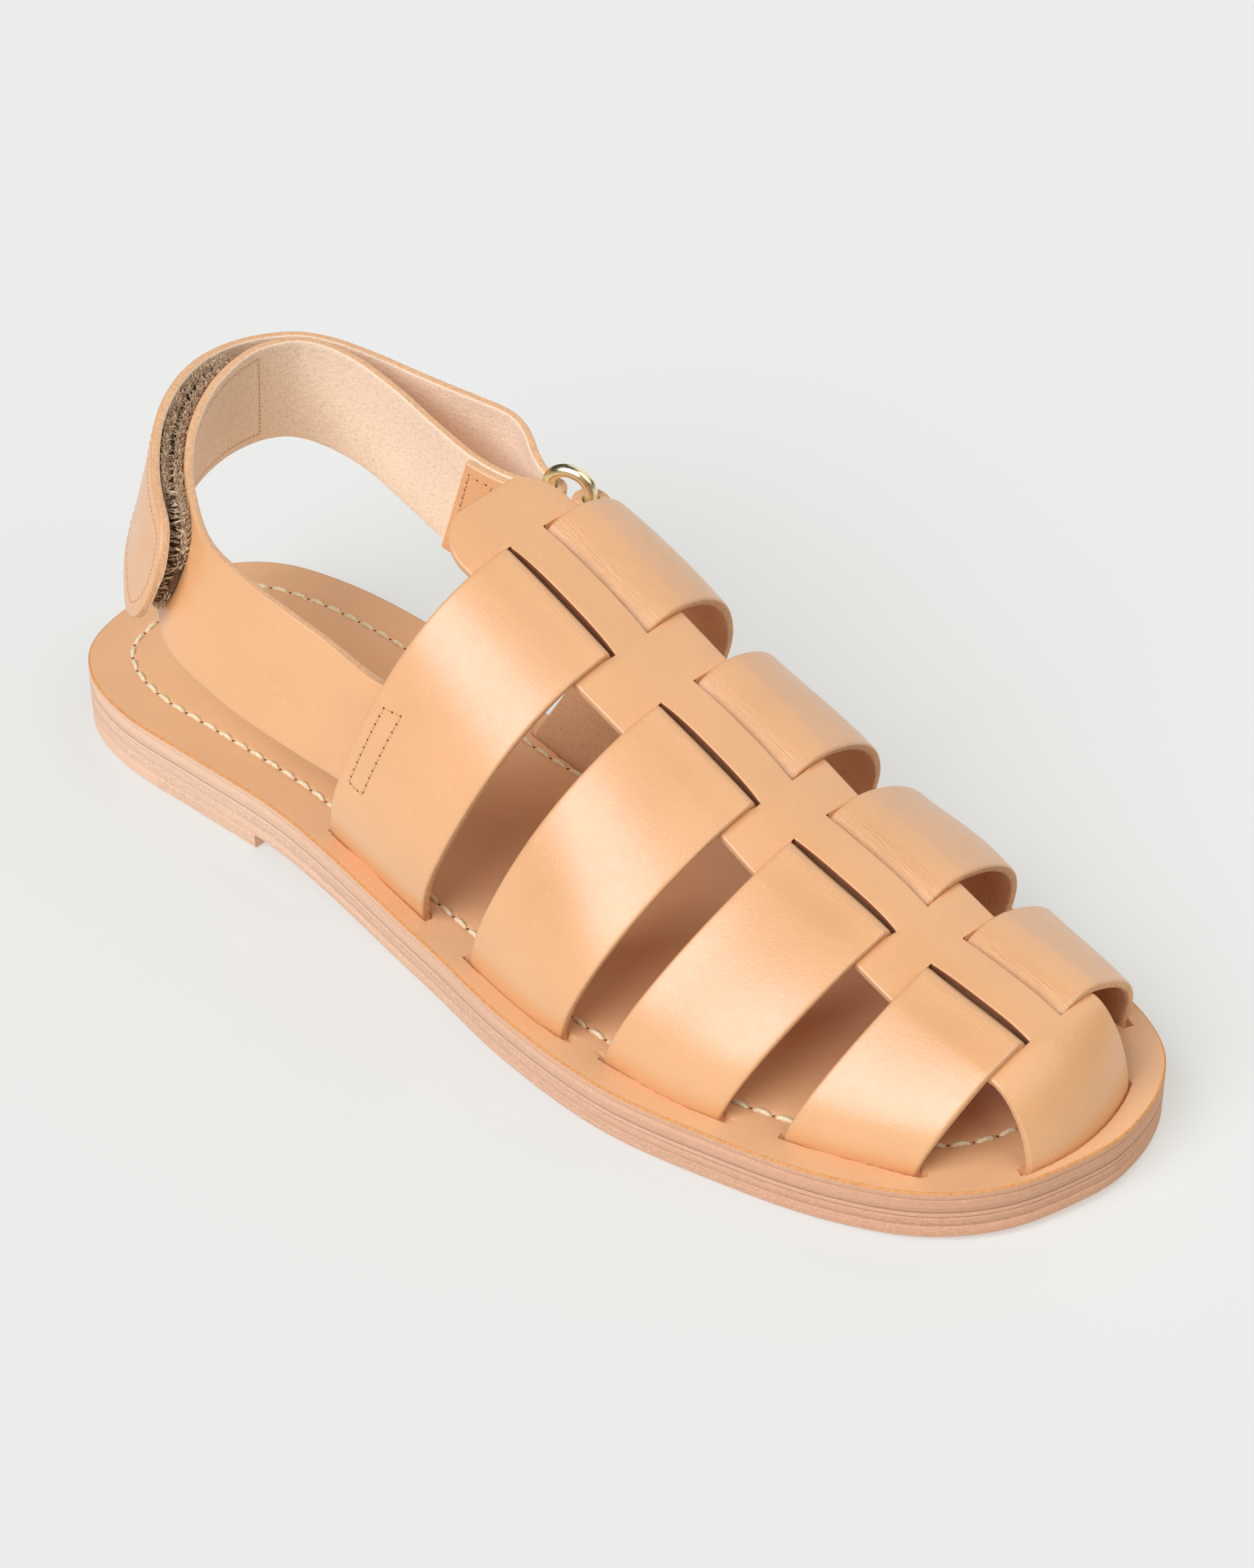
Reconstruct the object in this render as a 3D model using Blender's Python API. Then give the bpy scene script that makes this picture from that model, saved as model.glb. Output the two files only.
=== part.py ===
"""Caged leather sandal for the right foot.

A flat layered leather sole, a woven upper of one spine strip and four cross straps, and a two-layer
heel strap that folds round a brass ring. Sizes are millimetres in the shoe's own frame: x runs from the
back of the heel to the toe, y towards the medial side, z up from the floor.
"""

import bpy
import bmesh
import numpy as np
from mathutils import Vector

MM = 0.001
FIT_GAP = 0.3

# Sole
SOLE_LENGTH = 262.0
OUTSOLE_THICKNESS = 4.6
MIDSOLE_THICKNESS = 4.0
INSOLE_THICKNESS = 1.8
HEEL_LIFT_THICKNESS = 3.0
HEEL_BREAST = 68.0
HEEL_TIP_FRONT = 38.0
WAIST_END = 122.0
TOE_SPRING = 2.0
TOE_SPRING_START = 212.0
SOLE_STATIONS = 40
SOLE_COLUMNS = ("along", "lateral", "medial")
SOLE_OUTLINE = (
    (0.0, -2.5, -2.5),
    (3.5, -20.5, 16.0),
    (12.0, -29.6, 25.3),
    (28.0, -35.2, 30.2),
    (50.0, -36.3, 31.0),
    (75.0, -37.4, 28.2),
    (100.0, -40.9, 24.2),
    (125.0, -45.9, 26.0),
    (150.0, -51.8, 36.2),
    (178.0, -54.7, 41.4),
    (205.0, -51.2, 39.4),
    (228.0, -45.4, 34.8),
    (245.0, -36.8, 28.9),
    (255.0, -25.4, 21.0),
    (260.2, -12.0, 10.6),
    (262.0, -2.0, -2.0),
)

# Upper: one row for each end of a strap's slit, from the tongue to the toe
LEATHER = 2.0
SPINE_HALF_WIDTH = 15.5
BAND_HALF_WIDTH = 4.7
SLIT_WIDTH = 0.5
STEP_WIDTH = 0.25
BAND_RISE = 1.2
STRAP_DIP = -0.8
STRAP_RISE = 1.8
CURL_BASE = 14.0
CURL_GROWTH = 1.1
TONGUE_TIP = 102.0
TONGUE_CORNER = 9.0
TOE_FRONT = 257.6
TOE_ROUNDING = 3.0
TOE_POWER = 1.7
UPPER_COLUMNS = ("along", "height", "centre", "lateral_back", "lateral_reach", "lateral_round", "lateral_curl",
                 "medial_back", "medial_reach", "medial_round", "medial_curl")
UPPER_SECTIONS = (
    (102.0, 84.6, -1.2, 23.9, -40.4, 3.00, 6.0, 16.5, 39.5, 3.20, 20.0),
    (113.5, 79.5, -1.3, 23.9, -41.0, 3.00, 6.2, 16.5, 40.3, 3.20, 21.0),
    (140.0, 67.1, -1.5, 20.7, -44.6, 2.47, 4.4, 15.3, 40.8, 3.00, 20.5),
    (152.7, 61.3, -1.8, 17.6, -46.4, 2.45, 2.4, 12.1, 39.8, 2.80, 9.5),
    (177.7, 51.1, -2.9, 13.9, -52.0, 2.00, 3.1, 11.3, 42.0, 2.35, 4.3),
    (187.4, 47.5, -3.6, 13.2, -52.0, 1.78, 3.3, 5.2, 42.2, 2.05, 4.1),
    (212.3, 39.8, -4.7, 10.8, -48.4, 1.85, 1.7, 4.8, 36.8, 2.35, 3.0),
    (222.0, 37.1, -5.4, 8.1, -45.6, 1.70, 2.5, 2.8, 35.6, 2.00, 3.8),
    (245.0, 32.0, -6.1, 6.1, -38.0, 1.85, 2.7, 2.0, 28.1, 2.20, 2.6),
)
STRAPS = ((113.5, 140.0), (152.7, 177.7), (187.4, 212.3), (222.0, 245.0))
STRAP_LINES = 5
PANEL_STEPS = (0.14, 0.3, 0.46, 0.62, 0.78, 0.9, 1.0)

# Heel strap: top outer edge of the inner strip, from the lateral side round the heel to the ring
HEEL_COLUMNS = ("along", "across", "height", "lean", "width", "spread", "rise")
HEEL_PATH = (
    (88.0, -33.6, 60.4, 0.22, 27.5, 7.0, 0.0),
    (67.3, -33.2, 64.1, 0.28, 27.5, 7.0, 0.0),
    (52.5, -31.0, 67.0, 0.30, 27.0, 7.0, -2.0),
    (44.5, -26.6, 69.6, 0.30, 26.0, 7.0, -1.5),
    (35.8, -19.6, 71.8, 0.28, 25.5, 7.0, -0.5),
    (27.0, -8.0, 75.6, 0.22, 24.5, 7.0, 0.0),
    (22.2, 5.5, 78.0, 0.15, 24.0, 7.0, -1.0),
    (22.0, 17.0, 78.6, 0.08, 24.0, 7.0, -2.7),
    (26.5, 25.3, 78.0, 0.03, 24.5, 7.0, -3.2),
    (35.0, 29.6, 75.8, 0.00, 25.0, 7.4, -3.3),
    (46.0, 31.2, 72.2, 0.00, 25.0, 9.0, -2.0),
    (58.8, 31.4, 67.4, 0.00, 25.0, 12.5, 0.5),
    (69.0, 32.0, 63.6, 0.00, 25.0, 14.0, 2.5),
    (77.0, 33.4, 61.9, 0.00, 24.0, 10.0, 2.0),
    (83.0, 35.2, 61.5, 0.00, 23.0, 3.3, 0.0),
)
HEEL_STATIONS = 46
LATERAL_TUCK = 12.0
TUCK_CLEAR = 2.0
TUCK_GAP = 0.5
LATERAL_TUCK_TOP = 58.5
LATERAL_TUCK_BOTTOM = 31.5
FREE_END_STATION = 17
FREE_END_CORNER = 7.0
PAD_THICKNESS = 1.6
PAD_MARGIN = 2.5
HOOK_PAD_STATIONS = (16, 29)
LOOP_PAD_STATIONS = (18, 29)
PATCH_LENGTH = 22.0

# Ring and its tab
RING_WIRE = 1.4
RING_BAR = 11.2
RING_END = 4.2
RING_HALF_WIDTH = 4.8
RING_LIFT = 1.0
RING_SLACK = 0.5
RING_END_POINTS = 11
FOLD_POINTS = 7
TAB_TUCK = 10.0
TAB_TOP = 58.0
TAB_BOTTOM = 34.0

LEATHER_TAN = (0.87, 0.50, 0.25)
SOLE_TAN = (0.74, 0.45, 0.32)
TIP_TAN = (0.80, 0.52, 0.36)
PAD_BROWN = (0.20, 0.11, 0.07)
BRASS = (0.80, 0.66, 0.36)


def column(table, names, name):
    """One named column of a table as an array."""
    return np.array([row[names.index(name)] for row in table], dtype=float)


def smooth(x, knots, values):
    """Cubic Hermite curve through the knots, with tangents from the neighbouring knots."""
    values = np.asarray(values, dtype=float)
    slopes = np.gradient(values, knots, axis=0)
    x = np.clip(np.asarray(x, dtype=float), knots[0], knots[-1])
    i = np.clip(np.searchsorted(knots, x, side="right") - 1, 0, len(knots) - 2)
    span = (knots[i + 1] - knots[i])
    t = (x - knots[i]) / span
    if values.ndim == 2:
        t, span = t[:, None], span[:, None]
    return ((2 * t**3 - 3 * t**2 + 1) * values[i] + (t**3 - 2 * t**2 + t) * span * slopes[i]
            + (3 * t**2 - 2 * t**3) * values[i + 1] + (t**3 - t**2) * span * slopes[i + 1])


def ease(x, start, end):
    """Smooth step from 0 at start to 1 at end."""
    t = np.clip((np.asarray(x, dtype=float) - start) / (end - start), 0.0, 1.0)
    return t * t * (3.0 - 2.0 * t)


def unit(vectors):
    """Vectors scaled to length one."""
    return vectors / np.linalg.norm(vectors, axis=-1, keepdims=True)


def sole_rise(x):
    """Height of the outsole's underside: on the lift at the heel, flat at the ball, sprung at the toe."""
    heel = (HEEL_LIFT_THICKNESS + FIT_GAP) * (1.0 - ease(x, HEEL_BREAST + 2.0, WAIST_END))
    toe = TOE_SPRING * np.clip((np.asarray(x) - TOE_SPRING_START) / (SOLE_LENGTH - TOE_SPRING_START), 0, None)**2
    return heel + toe


MIDSOLE_BASE = OUTSOLE_THICKNESS + FIT_GAP
INSOLE_BASE = MIDSOLE_BASE + MIDSOLE_THICKNESS + FIT_GAP
FOOTBED = INSOLE_BASE + INSOLE_THICKNESS


def footbed(x):
    """Height of the insole's top face."""
    return sole_rise(x) + FOOTBED


def sole_edge(turn):
    """Lateral and medial edge of the sole at a turn from 0 at the heel to pi at the toe."""
    along = column(SOLE_OUTLINE, SOLE_COLUMNS, "along")
    knots = np.arccos(1.0 - 2.0 * along / SOLE_LENGTH)
    x = SOLE_LENGTH * (1.0 - np.cos(turn)) / 2.0
    lateral = smooth(turn, knots, column(SOLE_OUTLINE, SOLE_COLUMNS, "lateral"))
    medial = smooth(turn, knots, column(SOLE_OUTLINE, SOLE_COLUMNS, "medial"))
    return x, lateral, medial


def section(s):
    """The upper's section values at a station of the spine."""
    knots = column(UPPER_SECTIONS, UPPER_COLUMNS, "along")
    return {name: smooth(s, knots, column(UPPER_SECTIONS, UPPER_COLUMNS, name)) for name in UPPER_COLUMNS}


def half_width(s, side):
    """Distance from the spine's middle to the foot of the section, on side -1 lateral or 1 medial."""
    row = section(s)
    return np.where(side < 0, row["centre"] - row["lateral_reach"], row["medial_reach"] - row["centre"])


def arch(s, r, side, below=0.0):
    """Point of the last's surface: r from 0 on the spine's middle to 1 at the foot of the section.

    Across, the section is a superellipse |y|^p + |z|^p = 1 on a plane that slants back as it comes down. Near
    the foot it curls in, and it runs on straight down by the length below.
    """
    s, r, side, below = np.broadcast_arrays(*[np.asarray(v, dtype=float) for v in (s, r, side, below)])
    shape = s.shape
    s, r, side, below = s.ravel(), r.ravel(), side.ravel(), below.ravel()
    row = section(s)
    power = np.where(side < 0, row["lateral_round"], row["medial_round"])
    back = np.where(side < 0, row["lateral_back"], row["medial_back"])
    curl = np.where(side < 0, row["lateral_curl"], row["medial_curl"])
    base = footbed(s - back)
    share = np.clip(1.0 - r**power, 0.0, None)**(1.0 / power)
    x = s - back * (1.0 - share)
    z = base + (row["height"] - base) * share
    tuck = curl * np.clip(1.0 - (z - base) / (CURL_BASE + CURL_GROWTH * curl), 0.0, None)**2
    y = row["centre"] + side * (half_width(s, side) * r - tuck)
    return np.stack([x, y, z - below], axis=-1).reshape(*shape, 3)


def toe_piece(turn, d):
    """Front of the spine: from the last strap's edge it turns down to the footbed at the toe."""
    last = STRAPS[-1][1]
    side = np.where(d < 0, -1.0, 1.0)
    start = arch(last, np.abs(d) / half_width(np.full(d.shape, last), side), side)
    front = TOE_FRONT - TOE_ROUNDING * (d / SPINE_HALF_WIDTH)**2
    floor = footbed(front)
    grow = np.sin(turn * np.pi / 2.0)**(2.0 / TOE_POWER)
    fall = np.cos(turn * np.pi / 2.0)**(2.0 / TOE_POWER)
    x = start[..., 0] + (front - start[..., 0]) * grow
    z = floor + (start[..., 2] - floor) * fall
    return np.stack([x, start[..., 1], z], axis=-1)


def reach_at_height(s, side, height):
    """The arch's r where its surface has the given height."""
    row = section(np.atleast_1d(float(s)))
    back = row["lateral_back"] if side < 0 else row["medial_back"]
    power = row["lateral_round"] if side < 0 else row["medial_round"]
    base = footbed(s - back)
    share = np.clip((height - base) / (row["height"] - base), 0.0, 1.0)
    return float(((1.0 - share**power)**(1.0 / power))[0])


def grid_normals(points):
    """Unit normals of a grid of points from its row and column directions."""
    along = np.gradient(points, axis=0)
    across = np.gradient(points, axis=1)
    return unit(np.cross(along, across))


def wall(points, normals, outer, inner, cells):
    """Closed wall over the marked cells of a grid, between an outer and an inner offset."""
    rows, cols = points.shape[:2]
    skins = (points + normals * outer[..., None], points + normals * inner[..., None])
    mesh = bmesh.new()
    vertex = {}

    def corner(skin, i, j):
        key = (skin, i, j)
        if key not in vertex:
            vertex[key] = mesh.verts.new(Vector(skins[skin][i, j]) * MM)
        return vertex[key]

    def marked(i, j):
        return 0 <= i < rows - 1 and 0 <= j < cols - 1 and cells[i, j]

    for i, j in zip(*np.nonzero(cells)):
        ring = ((i, j), (i + 1, j), (i + 1, j + 1), (i, j + 1))
        mesh.faces.new([corner(0, *p) for p in ring])
        mesh.faces.new([corner(1, *p) for p in reversed(ring)])
        sides = (((i, j - 1), ring[0], ring[1]), ((i + 1, j), ring[1], ring[2]),
                 ((i, j + 1), ring[2], ring[3]), ((i - 1, j), ring[3], ring[0]))
        for neighbour, start, end in sides:
            if not marked(*neighbour):
                mesh.faces.new((corner(0, *end), corner(0, *start), corner(1, *start), corner(1, *end)))
    bmesh.ops.recalc_face_normals(mesh, faces=mesh.faces)
    return mesh


def ribbon(points, thickness):
    """Closed strip of one thickness about a grid of middle points."""
    shape = points.shape[:2]
    half = np.full(shape, thickness / 2.0)
    return wall(points, grid_normals(points), half, -half, np.ones((shape[0] - 1, shape[1] - 1), dtype=bool))


def material(name, colour, roughness, metallic=0.0):
    """Principled material of one finish."""
    finish = bpy.data.materials.new(name)
    finish.use_nodes = True
    shader = finish.node_tree.nodes["Principled BSDF"]
    shader.inputs["Base Color"].default_value = (*colour, 1.0)
    shader.inputs["Roughness"].default_value = roughness
    shader.inputs["Metallic"].default_value = metallic
    return finish


def add_object(name, mesh, finish, collection):
    """Object of a bmesh in a collection."""
    data = bpy.data.meshes.new(name)
    mesh.to_mesh(data)
    mesh.free()
    data.shade_smooth()
    data.set_sharp_from_angle(angle=np.radians(40.0))
    thing = bpy.data.objects.new(name, data)
    collection.objects.link(thing)
    if finish is not None:
        data.materials.append(finish)
    return thing


def sole_layer(base, thickness, start=0.0, end=SOLE_LENGTH, inset=0.0, flat_floor=False):
    """Layer of the sole between two stations, lofted across the outline from heel to toe."""
    turn_of = lambda x: np.arccos(1.0 - 2.0 * np.clip(x / SOLE_LENGTH, 0.0, 1.0))
    ends = 0.06
    turns = np.linspace(max(turn_of(start), ends), min(turn_of(end), np.pi - ends), SOLE_STATIONS)
    x, lateral, medial = sole_edge(turns)
    share = np.array([0.0, 0.5, 1.0])
    plan_y = (lateral + inset)[:, None] * (1.0 - share) + (medial - inset)[:, None] * share
    plan_x = np.repeat(x[:, None], len(share), axis=1)
    floor = np.zeros_like(plan_x) if flat_floor else sole_rise(plan_x) + base
    points = np.stack([plan_x, plan_y, floor], axis=-1)
    up = np.zeros_like(points)
    up[..., 2] = 1.0
    lift = np.full(plan_x.shape, thickness)
    return wall(points, up, lift, np.zeros_like(lift), np.ones((len(x) - 1, len(share) - 1), dtype=bool))


def upper_lines():
    """Stations along the spine, each with its kind: tongue, spine, strap or toe."""
    lines = []
    for angle in np.radians((0.0, 30.0, 60.0, 90.0)):
        half = SPINE_HALF_WIDTH - TONGUE_CORNER * (1.0 - np.sin(angle))
        lines.append(("tongue", TONGUE_TIP + TONGUE_CORNER * (1.0 - np.cos(angle)), half))
    for number, (rear, front) in enumerate(STRAPS):
        lines.append(("edge", rear - STEP_WIDTH, SPINE_HALF_WIDTH))
        lines += [("strap", s, SPINE_HALF_WIDTH) for s in np.linspace(rear, front, STRAP_LINES)]
        if number < len(STRAPS) - 1:
            lines.append(("edge", front + STEP_WIDTH, SPINE_HALF_WIDTH))
            lines.append(("spine", (front + STRAPS[number + 1][0]) / 2.0, SPINE_HALF_WIDTH))
    lines += [("toe", turn, SPINE_HALF_WIDTH) for turn in (0.02, 0.2, 0.4, 0.6, 0.8, 0.92, 1.0, 1.2)]
    return lines


SPINE_STEPS = (0.0, BAND_HALF_WIDTH / 2.0, BAND_HALF_WIDTH, BAND_HALF_WIDTH + SLIT_WIDTH, 7.0, 10.0, 12.8,
               SPINE_HALF_WIDTH)
STRAP_OVER = (BAND_RISE, BAND_RISE, BAND_RISE, STRAP_DIP, 0.4, 1.5, STRAP_RISE, STRAP_RISE)
SKIRT_TURN = 1.2


def upper_row(kind, s, half):
    """Points and offsets of one line across the upper, from the lateral to the medial foot."""
    points, outer, inner = [], [], []
    floor_depth = INSOLE_THICKNESS
    for side in (-1.0, 1.0):
        spine = np.array(SPINE_STEPS) * half / SPINE_HALF_WIDTH
        steps = np.array(PANEL_STEPS)
        if kind == "toe":
            turn = min(s, 1.0)
            flank = toe_piece(np.full(spine.shape, turn), side * spine)
            flank[:, 2] -= floor_depth if s >= SKIRT_TURN else 0.0
            panel = np.repeat(flank[-1:], len(steps) + 2, axis=0)
        else:
            width = half_width(np.array([s]), np.array([side]))[0]
            flank = arch(s, spine / width, side)
            power = section(np.array([s]))["lateral_round" if side < 0 else "medial_round"][0]
            start = np.arcsin(((half + STEP_WIDTH) / width)**(power / 2.0))
            turn = np.concatenate([[start], start + (np.pi / 2.0 - start) * steps])
            panel = arch(s, np.sin(turn)**(2.0 / power), side)
            panel = np.concatenate([panel, arch(s, 1.0, side, floor_depth)[None]])
        over = np.zeros(len(spine))
        if kind == "strap":
            over = np.array(STRAP_OVER)
        elif kind == "edge":
            over = np.where(spine <= BAND_HALF_WIDTH + 0.01, BAND_RISE * 0.8, -0.2)
        fade = np.concatenate([[1.0], (1.0 - steps)**2, [0.0]])
        panel_over = STRAP_RISE * fade if kind == "strap" else np.zeros(len(panel))
        layers = 2.0 if kind == "strap" else 1.0
        spine_inner = over - layers * LEATHER
        if kind == "strap":
            spine_inner = np.minimum(spine_inner, BAND_RISE - 2.0 * LEATHER)
        row = (np.concatenate([flank, panel]), np.concatenate([over, panel_over]),
               np.concatenate([spine_inner, panel_over - LEATHER]))
        for target, part in zip((points, outer, inner), row):
            target.append(part)
    flip = slice(None, 0, -1)
    return tuple(np.concatenate([pair[0][flip], pair[1]]) for pair in (points, outer, inner))


def upper_grid():
    """Grid of the whole upper with its offsets and the cells that hold leather."""
    lines = upper_lines()
    rows = [upper_row(*line) for line in lines]
    points, outer, inner = (np.array([row[k] for row in rows]) for k in range(3))
    middle = (points.shape[1] - 1) // 2
    spine_reach = len(SPINE_STEPS) - 1
    cells = np.zeros((points.shape[0] - 1, points.shape[1] - 1), dtype=bool)
    cells[:, middle - spine_reach:middle + spine_reach] = True
    for i in range(len(lines) - 1):
        if lines[i][0] == "strap" and lines[i + 1][0] == "strap":
            cells[i, :] = True
    return points, outer, inner, cells, lines


def upper_normals(points, lines):
    """Outward normals of the last, worked out along each line and between neighbouring stations."""
    normals = np.zeros_like(points)
    step = 0.05
    for i, (kind, s, half) in enumerate(lines):
        if kind == "toe":
            turn = min(max(s, step), 1.0)
            along = upper_row(kind, turn, half)[0] - upper_row(kind, turn - step, half)[0]
        else:
            along = upper_row("spine", s + step, half)[0] - upper_row("spine", s - step, half)[0]
        across = np.gradient(points[i], axis=0)
        degenerate = np.linalg.norm(across, axis=1) < 1e-6
        across[degenerate] = (0.0, 1.0, 0.0)
        normal = np.cross(along, across)
        length = np.linalg.norm(normal, axis=1, keepdims=True)
        normals[i] = np.where(length > 1e-9, normal / np.maximum(length, 1e-9), (0.0, 0.0, 1.0))
    return normals


def build_upper(finish, collection):
    """Spine and four cross straps as one woven wall."""
    points, outer, inner, cells, lines = upper_grid()
    return add_object("upper", wall(points, upper_normals(points, lines), outer, inner, cells), finish, collection)


def slot_cutters(collection):
    """Cutters for the slots where the strap ends and the toe piece go down through the insole."""
    cutters = []
    drop = np.array([-4.0, INSOLE_THICKNESS + 2.0 * FIT_GAP])
    for number, (rear, front) in enumerate(STRAPS):
        for side, label in ((-1.0, "lateral"), (1.0, "medial")):
            s = np.linspace(rear - FIT_GAP, front + FIT_GAP, STRAP_LINES + 2)
            points = arch(s[:, None], 1.0, side, drop[None, :])
            cutters.append(slot_cutter(f"slot_{label}_{number + 1}", points, side, collection))
    d = np.linspace(-SPINE_HALF_WIDTH - FIT_GAP, SPINE_HALF_WIDTH + FIT_GAP, 7)
    foot = toe_piece(np.ones(d.shape), d)
    points = np.stack([foot - (0.0, 0.0, depth) for depth in drop], axis=1)
    cutters.append(slot_cutter("slot_toe", points, 1.0, collection))
    return cutters


def slot_cutter(name, points, side, collection):
    """Prism round a strap's foot with the fit gap on each face."""
    tangent = unit(np.gradient(points, axis=0))
    outward = np.cross(tangent, (0.0, 0.0, 1.0))
    outward = unit(outward * np.sign((outward[..., 1] * side).mean() + 1e-9))
    if name == "slot_toe":
        outward *= np.sign(outward[..., 0].mean())
    shape = points.shape[:2]
    outer = np.full(shape, FIT_GAP)
    inner = np.full(shape, -LEATHER - FIT_GAP)
    mesh = wall(points, outward, outer, inner, np.ones((shape[0] - 1, shape[1] - 1), dtype=bool))
    cutter = add_object(name, mesh, None, collection)
    cutter.hide_render = True
    cutter.display_type = "WIRE"
    return cutter


def cut(target, cutters):
    """Boolean difference of each cutter from the target."""
    for cutter in cutters:
        modifier = target.modifiers.new(cutter.name, "BOOLEAN")
        modifier.operation = "DIFFERENCE"
        modifier.solver = "EXACT"
        modifier.object = cutter


def tucked_line(s, side, top, bottom, offset):
    """Line down a strap's inner face between two heights, at an offset from its outer face."""
    reach = np.linspace(reach_at_height(s, side, top), reach_at_height(s, side, bottom), 3)
    step = 0.05
    here = arch(s, reach, side)
    along = arch(s + step, reach, side) - arch(s - step, reach, side)
    across = arch(s, np.minimum(reach + 0.002, 1.0), side) - arch(s, reach - 0.002, side)
    normal = unit(np.cross(along, across) * side)
    return here + normal * offset


def resample(rows, count):
    """Smooth grid of count stations through rows of points, spaced by the distance along the middle."""
    middle = rows[:, rows.shape[1] // 2]
    knots = np.concatenate([[0.0], np.cumsum(np.linalg.norm(np.diff(middle, axis=0), axis=1))])
    stations = np.linspace(0.0, knots[-1], count)
    lines = [smooth(stations, knots, rows[:, j]) for j in range(rows.shape[1])]
    return np.stack(lines, axis=1), stations, knots


def heel_rows():
    """Middle-surface lines across the inner heel strip at each row of its path."""
    get = {name: column(HEEL_PATH, HEEL_COLUMNS, name) for name in HEEL_COLUMNS}
    top = np.stack([get["along"], get["across"], get["height"]], axis=-1)
    tangent = unit(np.gradient(top, axis=0))
    outward = unit(np.cross(tangent, (0.0, 0.0, 1.0)))
    outward *= np.sign(((top - top.mean(axis=0)) * outward).sum(axis=-1).mean())
    down = -np.array([0.0, 0.0, 1.0]) + get["lean"][:, None] * outward
    down = unit(down - (down * tangent).sum(axis=-1, keepdims=True) * tangent)
    share = np.array([0.0, 0.5, 1.0])
    lines = top[:, None] + down[:, None] * (get["width"][:, None, None] * share[None, :, None])
    return lines - outward[:, None] * (LEATHER / 2.0), get


def heel_grid():
    """Middle surface of the inner strip from under the first strap round to the ring, with its spread."""
    lines, get = heel_rows()
    rear = STRAPS[0][0]
    depth = -LEATHER - TUCK_GAP - LEATHER / 2.0
    tucked = [tucked_line(rear + shift, -1.0, LATERAL_TUCK_TOP, LATERAL_TUCK_BOTTOM, depth)
              for shift in (LATERAL_TUCK, LATERAL_TUCK / 2.0, -TUCK_CLEAR)]
    rows = np.concatenate([np.array(tucked), lines])
    grid, stations, knots = resample(rows, HEEL_STATIONS)
    pad = np.full(len(tucked), get["spread"][0])
    spread = smooth(stations, knots, np.concatenate([pad, get["spread"]]))
    rise = smooth(stations, knots, np.concatenate([np.zeros(len(tucked)), get["rise"]]))
    normals = grid_normals(grid)
    middle = grid[:, 1] - grid[:, 1].mean(axis=0)
    normals *= np.sign((middle * normals[:, 1]).sum(axis=-1).mean())
    return grid, normals, spread, rise


def fold(centre, start, forward, radius):
    """Half turn of a strip round a bar: centre lines, start direction and forward direction."""
    angles = np.linspace(0.0, np.pi, FOLD_POINTS)
    return np.stack([centre + radius * (np.cos(a) * start + np.sin(a) * forward) for a in angles])


FOLD_RADIUS = RING_WIRE + RING_SLACK + LEATHER / 2.0


def ring_place(grid, normals):
    """Rear bar of the ring at the inner strip's end, with the ring's forward, outward and up directions."""
    forward = unit(grid[-1, 1] - grid[-2, 1])
    up = unit(grid[-1, 0] - grid[-1, 2])
    forward = unit(forward - (forward @ up) * up)
    outward = normals[-1, 1]
    outward = unit(outward - (outward @ up) * up - (outward @ forward) * forward)
    clearance = RING_WIRE + 2.0 * RING_SLACK
    bar = grid[-1] + forward * clearance + outward * (FOLD_RADIUS - LEATHER - FIT_GAP)
    return bar, forward, outward, up


def round_end(points, corner):
    """Last lines of a strip drawn in so that its end has rounded corners."""
    middle = points[-1, 1]
    half = np.linalg.norm(points[-1, 0] - points[-1, 2]) / 2.0
    along = unit(points[-1, 1] - points[-2, 1])
    extra = []
    for angle in np.radians((30.0, 60.0, 90.0)):
        share = 1.0 - corner * (1.0 - np.cos(angle)) / half
        line = middle + (points[-1] - middle) * share + along * corner * np.sin(angle)
        extra.append(line)
    return np.concatenate([points, np.array(extra)])


def outer_strip(grid, normals, spread, rise):
    """Middle surface of the outer strip: sewn patch, fold round the ring, run back round the heel, free end."""
    bar, forward, outward, up = ring_place(grid, normals)
    run = grid + normals * spread[:, None, None]
    run[..., 2] += rise[:, None]
    distance = np.cumsum(np.linalg.norm(np.diff(grid[::-1, 1], axis=0), axis=1))
    patch_count = int(np.searchsorted(distance, PATCH_LENGTH)) + 1
    patch = (grid - normals * (LEATHER + FIT_GAP))[-patch_count:-1]
    turn = fold(bar, -outward, forward, FOLD_RADIUS)
    back = run[FREE_END_STATION:-1][::-1]
    return round_end(np.concatenate([patch, turn, back]), FREE_END_CORNER)


def pad_grid(grid, normals, stations, offset):
    """Middle surface of a pad that follows a strip at an offset, set in from the strip's edges."""
    first, last = stations
    lines = grid[first:last] + normals[first:last] * offset
    middle = lines[:, 1:2]
    half = np.linalg.norm(lines[:, :1] - lines[:, 2:], axis=-1, keepdims=True) / 2.0
    return middle + (lines - middle) * (half - PAD_MARGIN) / half


def build_heel_strap(finishes, collection):
    """Inner and outer strip with the fastener pads between them."""
    grid, normals, spread, rise = heel_grid()
    add_object("heel_strap_inner", ribbon(grid, LEATHER), finishes["leather"], collection)
    add_object("heel_strap_outer", ribbon(outer_strip(grid, normals, spread, rise), LEATHER), finishes["leather"],
               collection)
    seat = LEATHER / 2.0 + FIT_GAP + PAD_THICKNESS / 2.0
    hook = pad_grid(grid, normals, HOOK_PAD_STATIONS, seat)
    add_object("hook_pad", ribbon(hook, PAD_THICKNESS), finishes["pad"], collection)
    run = grid + normals * spread[:, None, None]
    run[..., 2] += rise[:, None]
    loop = pad_grid(run, normals, LOOP_PAD_STATIONS, -seat)
    add_object("loop_pad", ribbon(loop, PAD_THICKNESS), finishes["pad"], collection)
    return grid, normals


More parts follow.
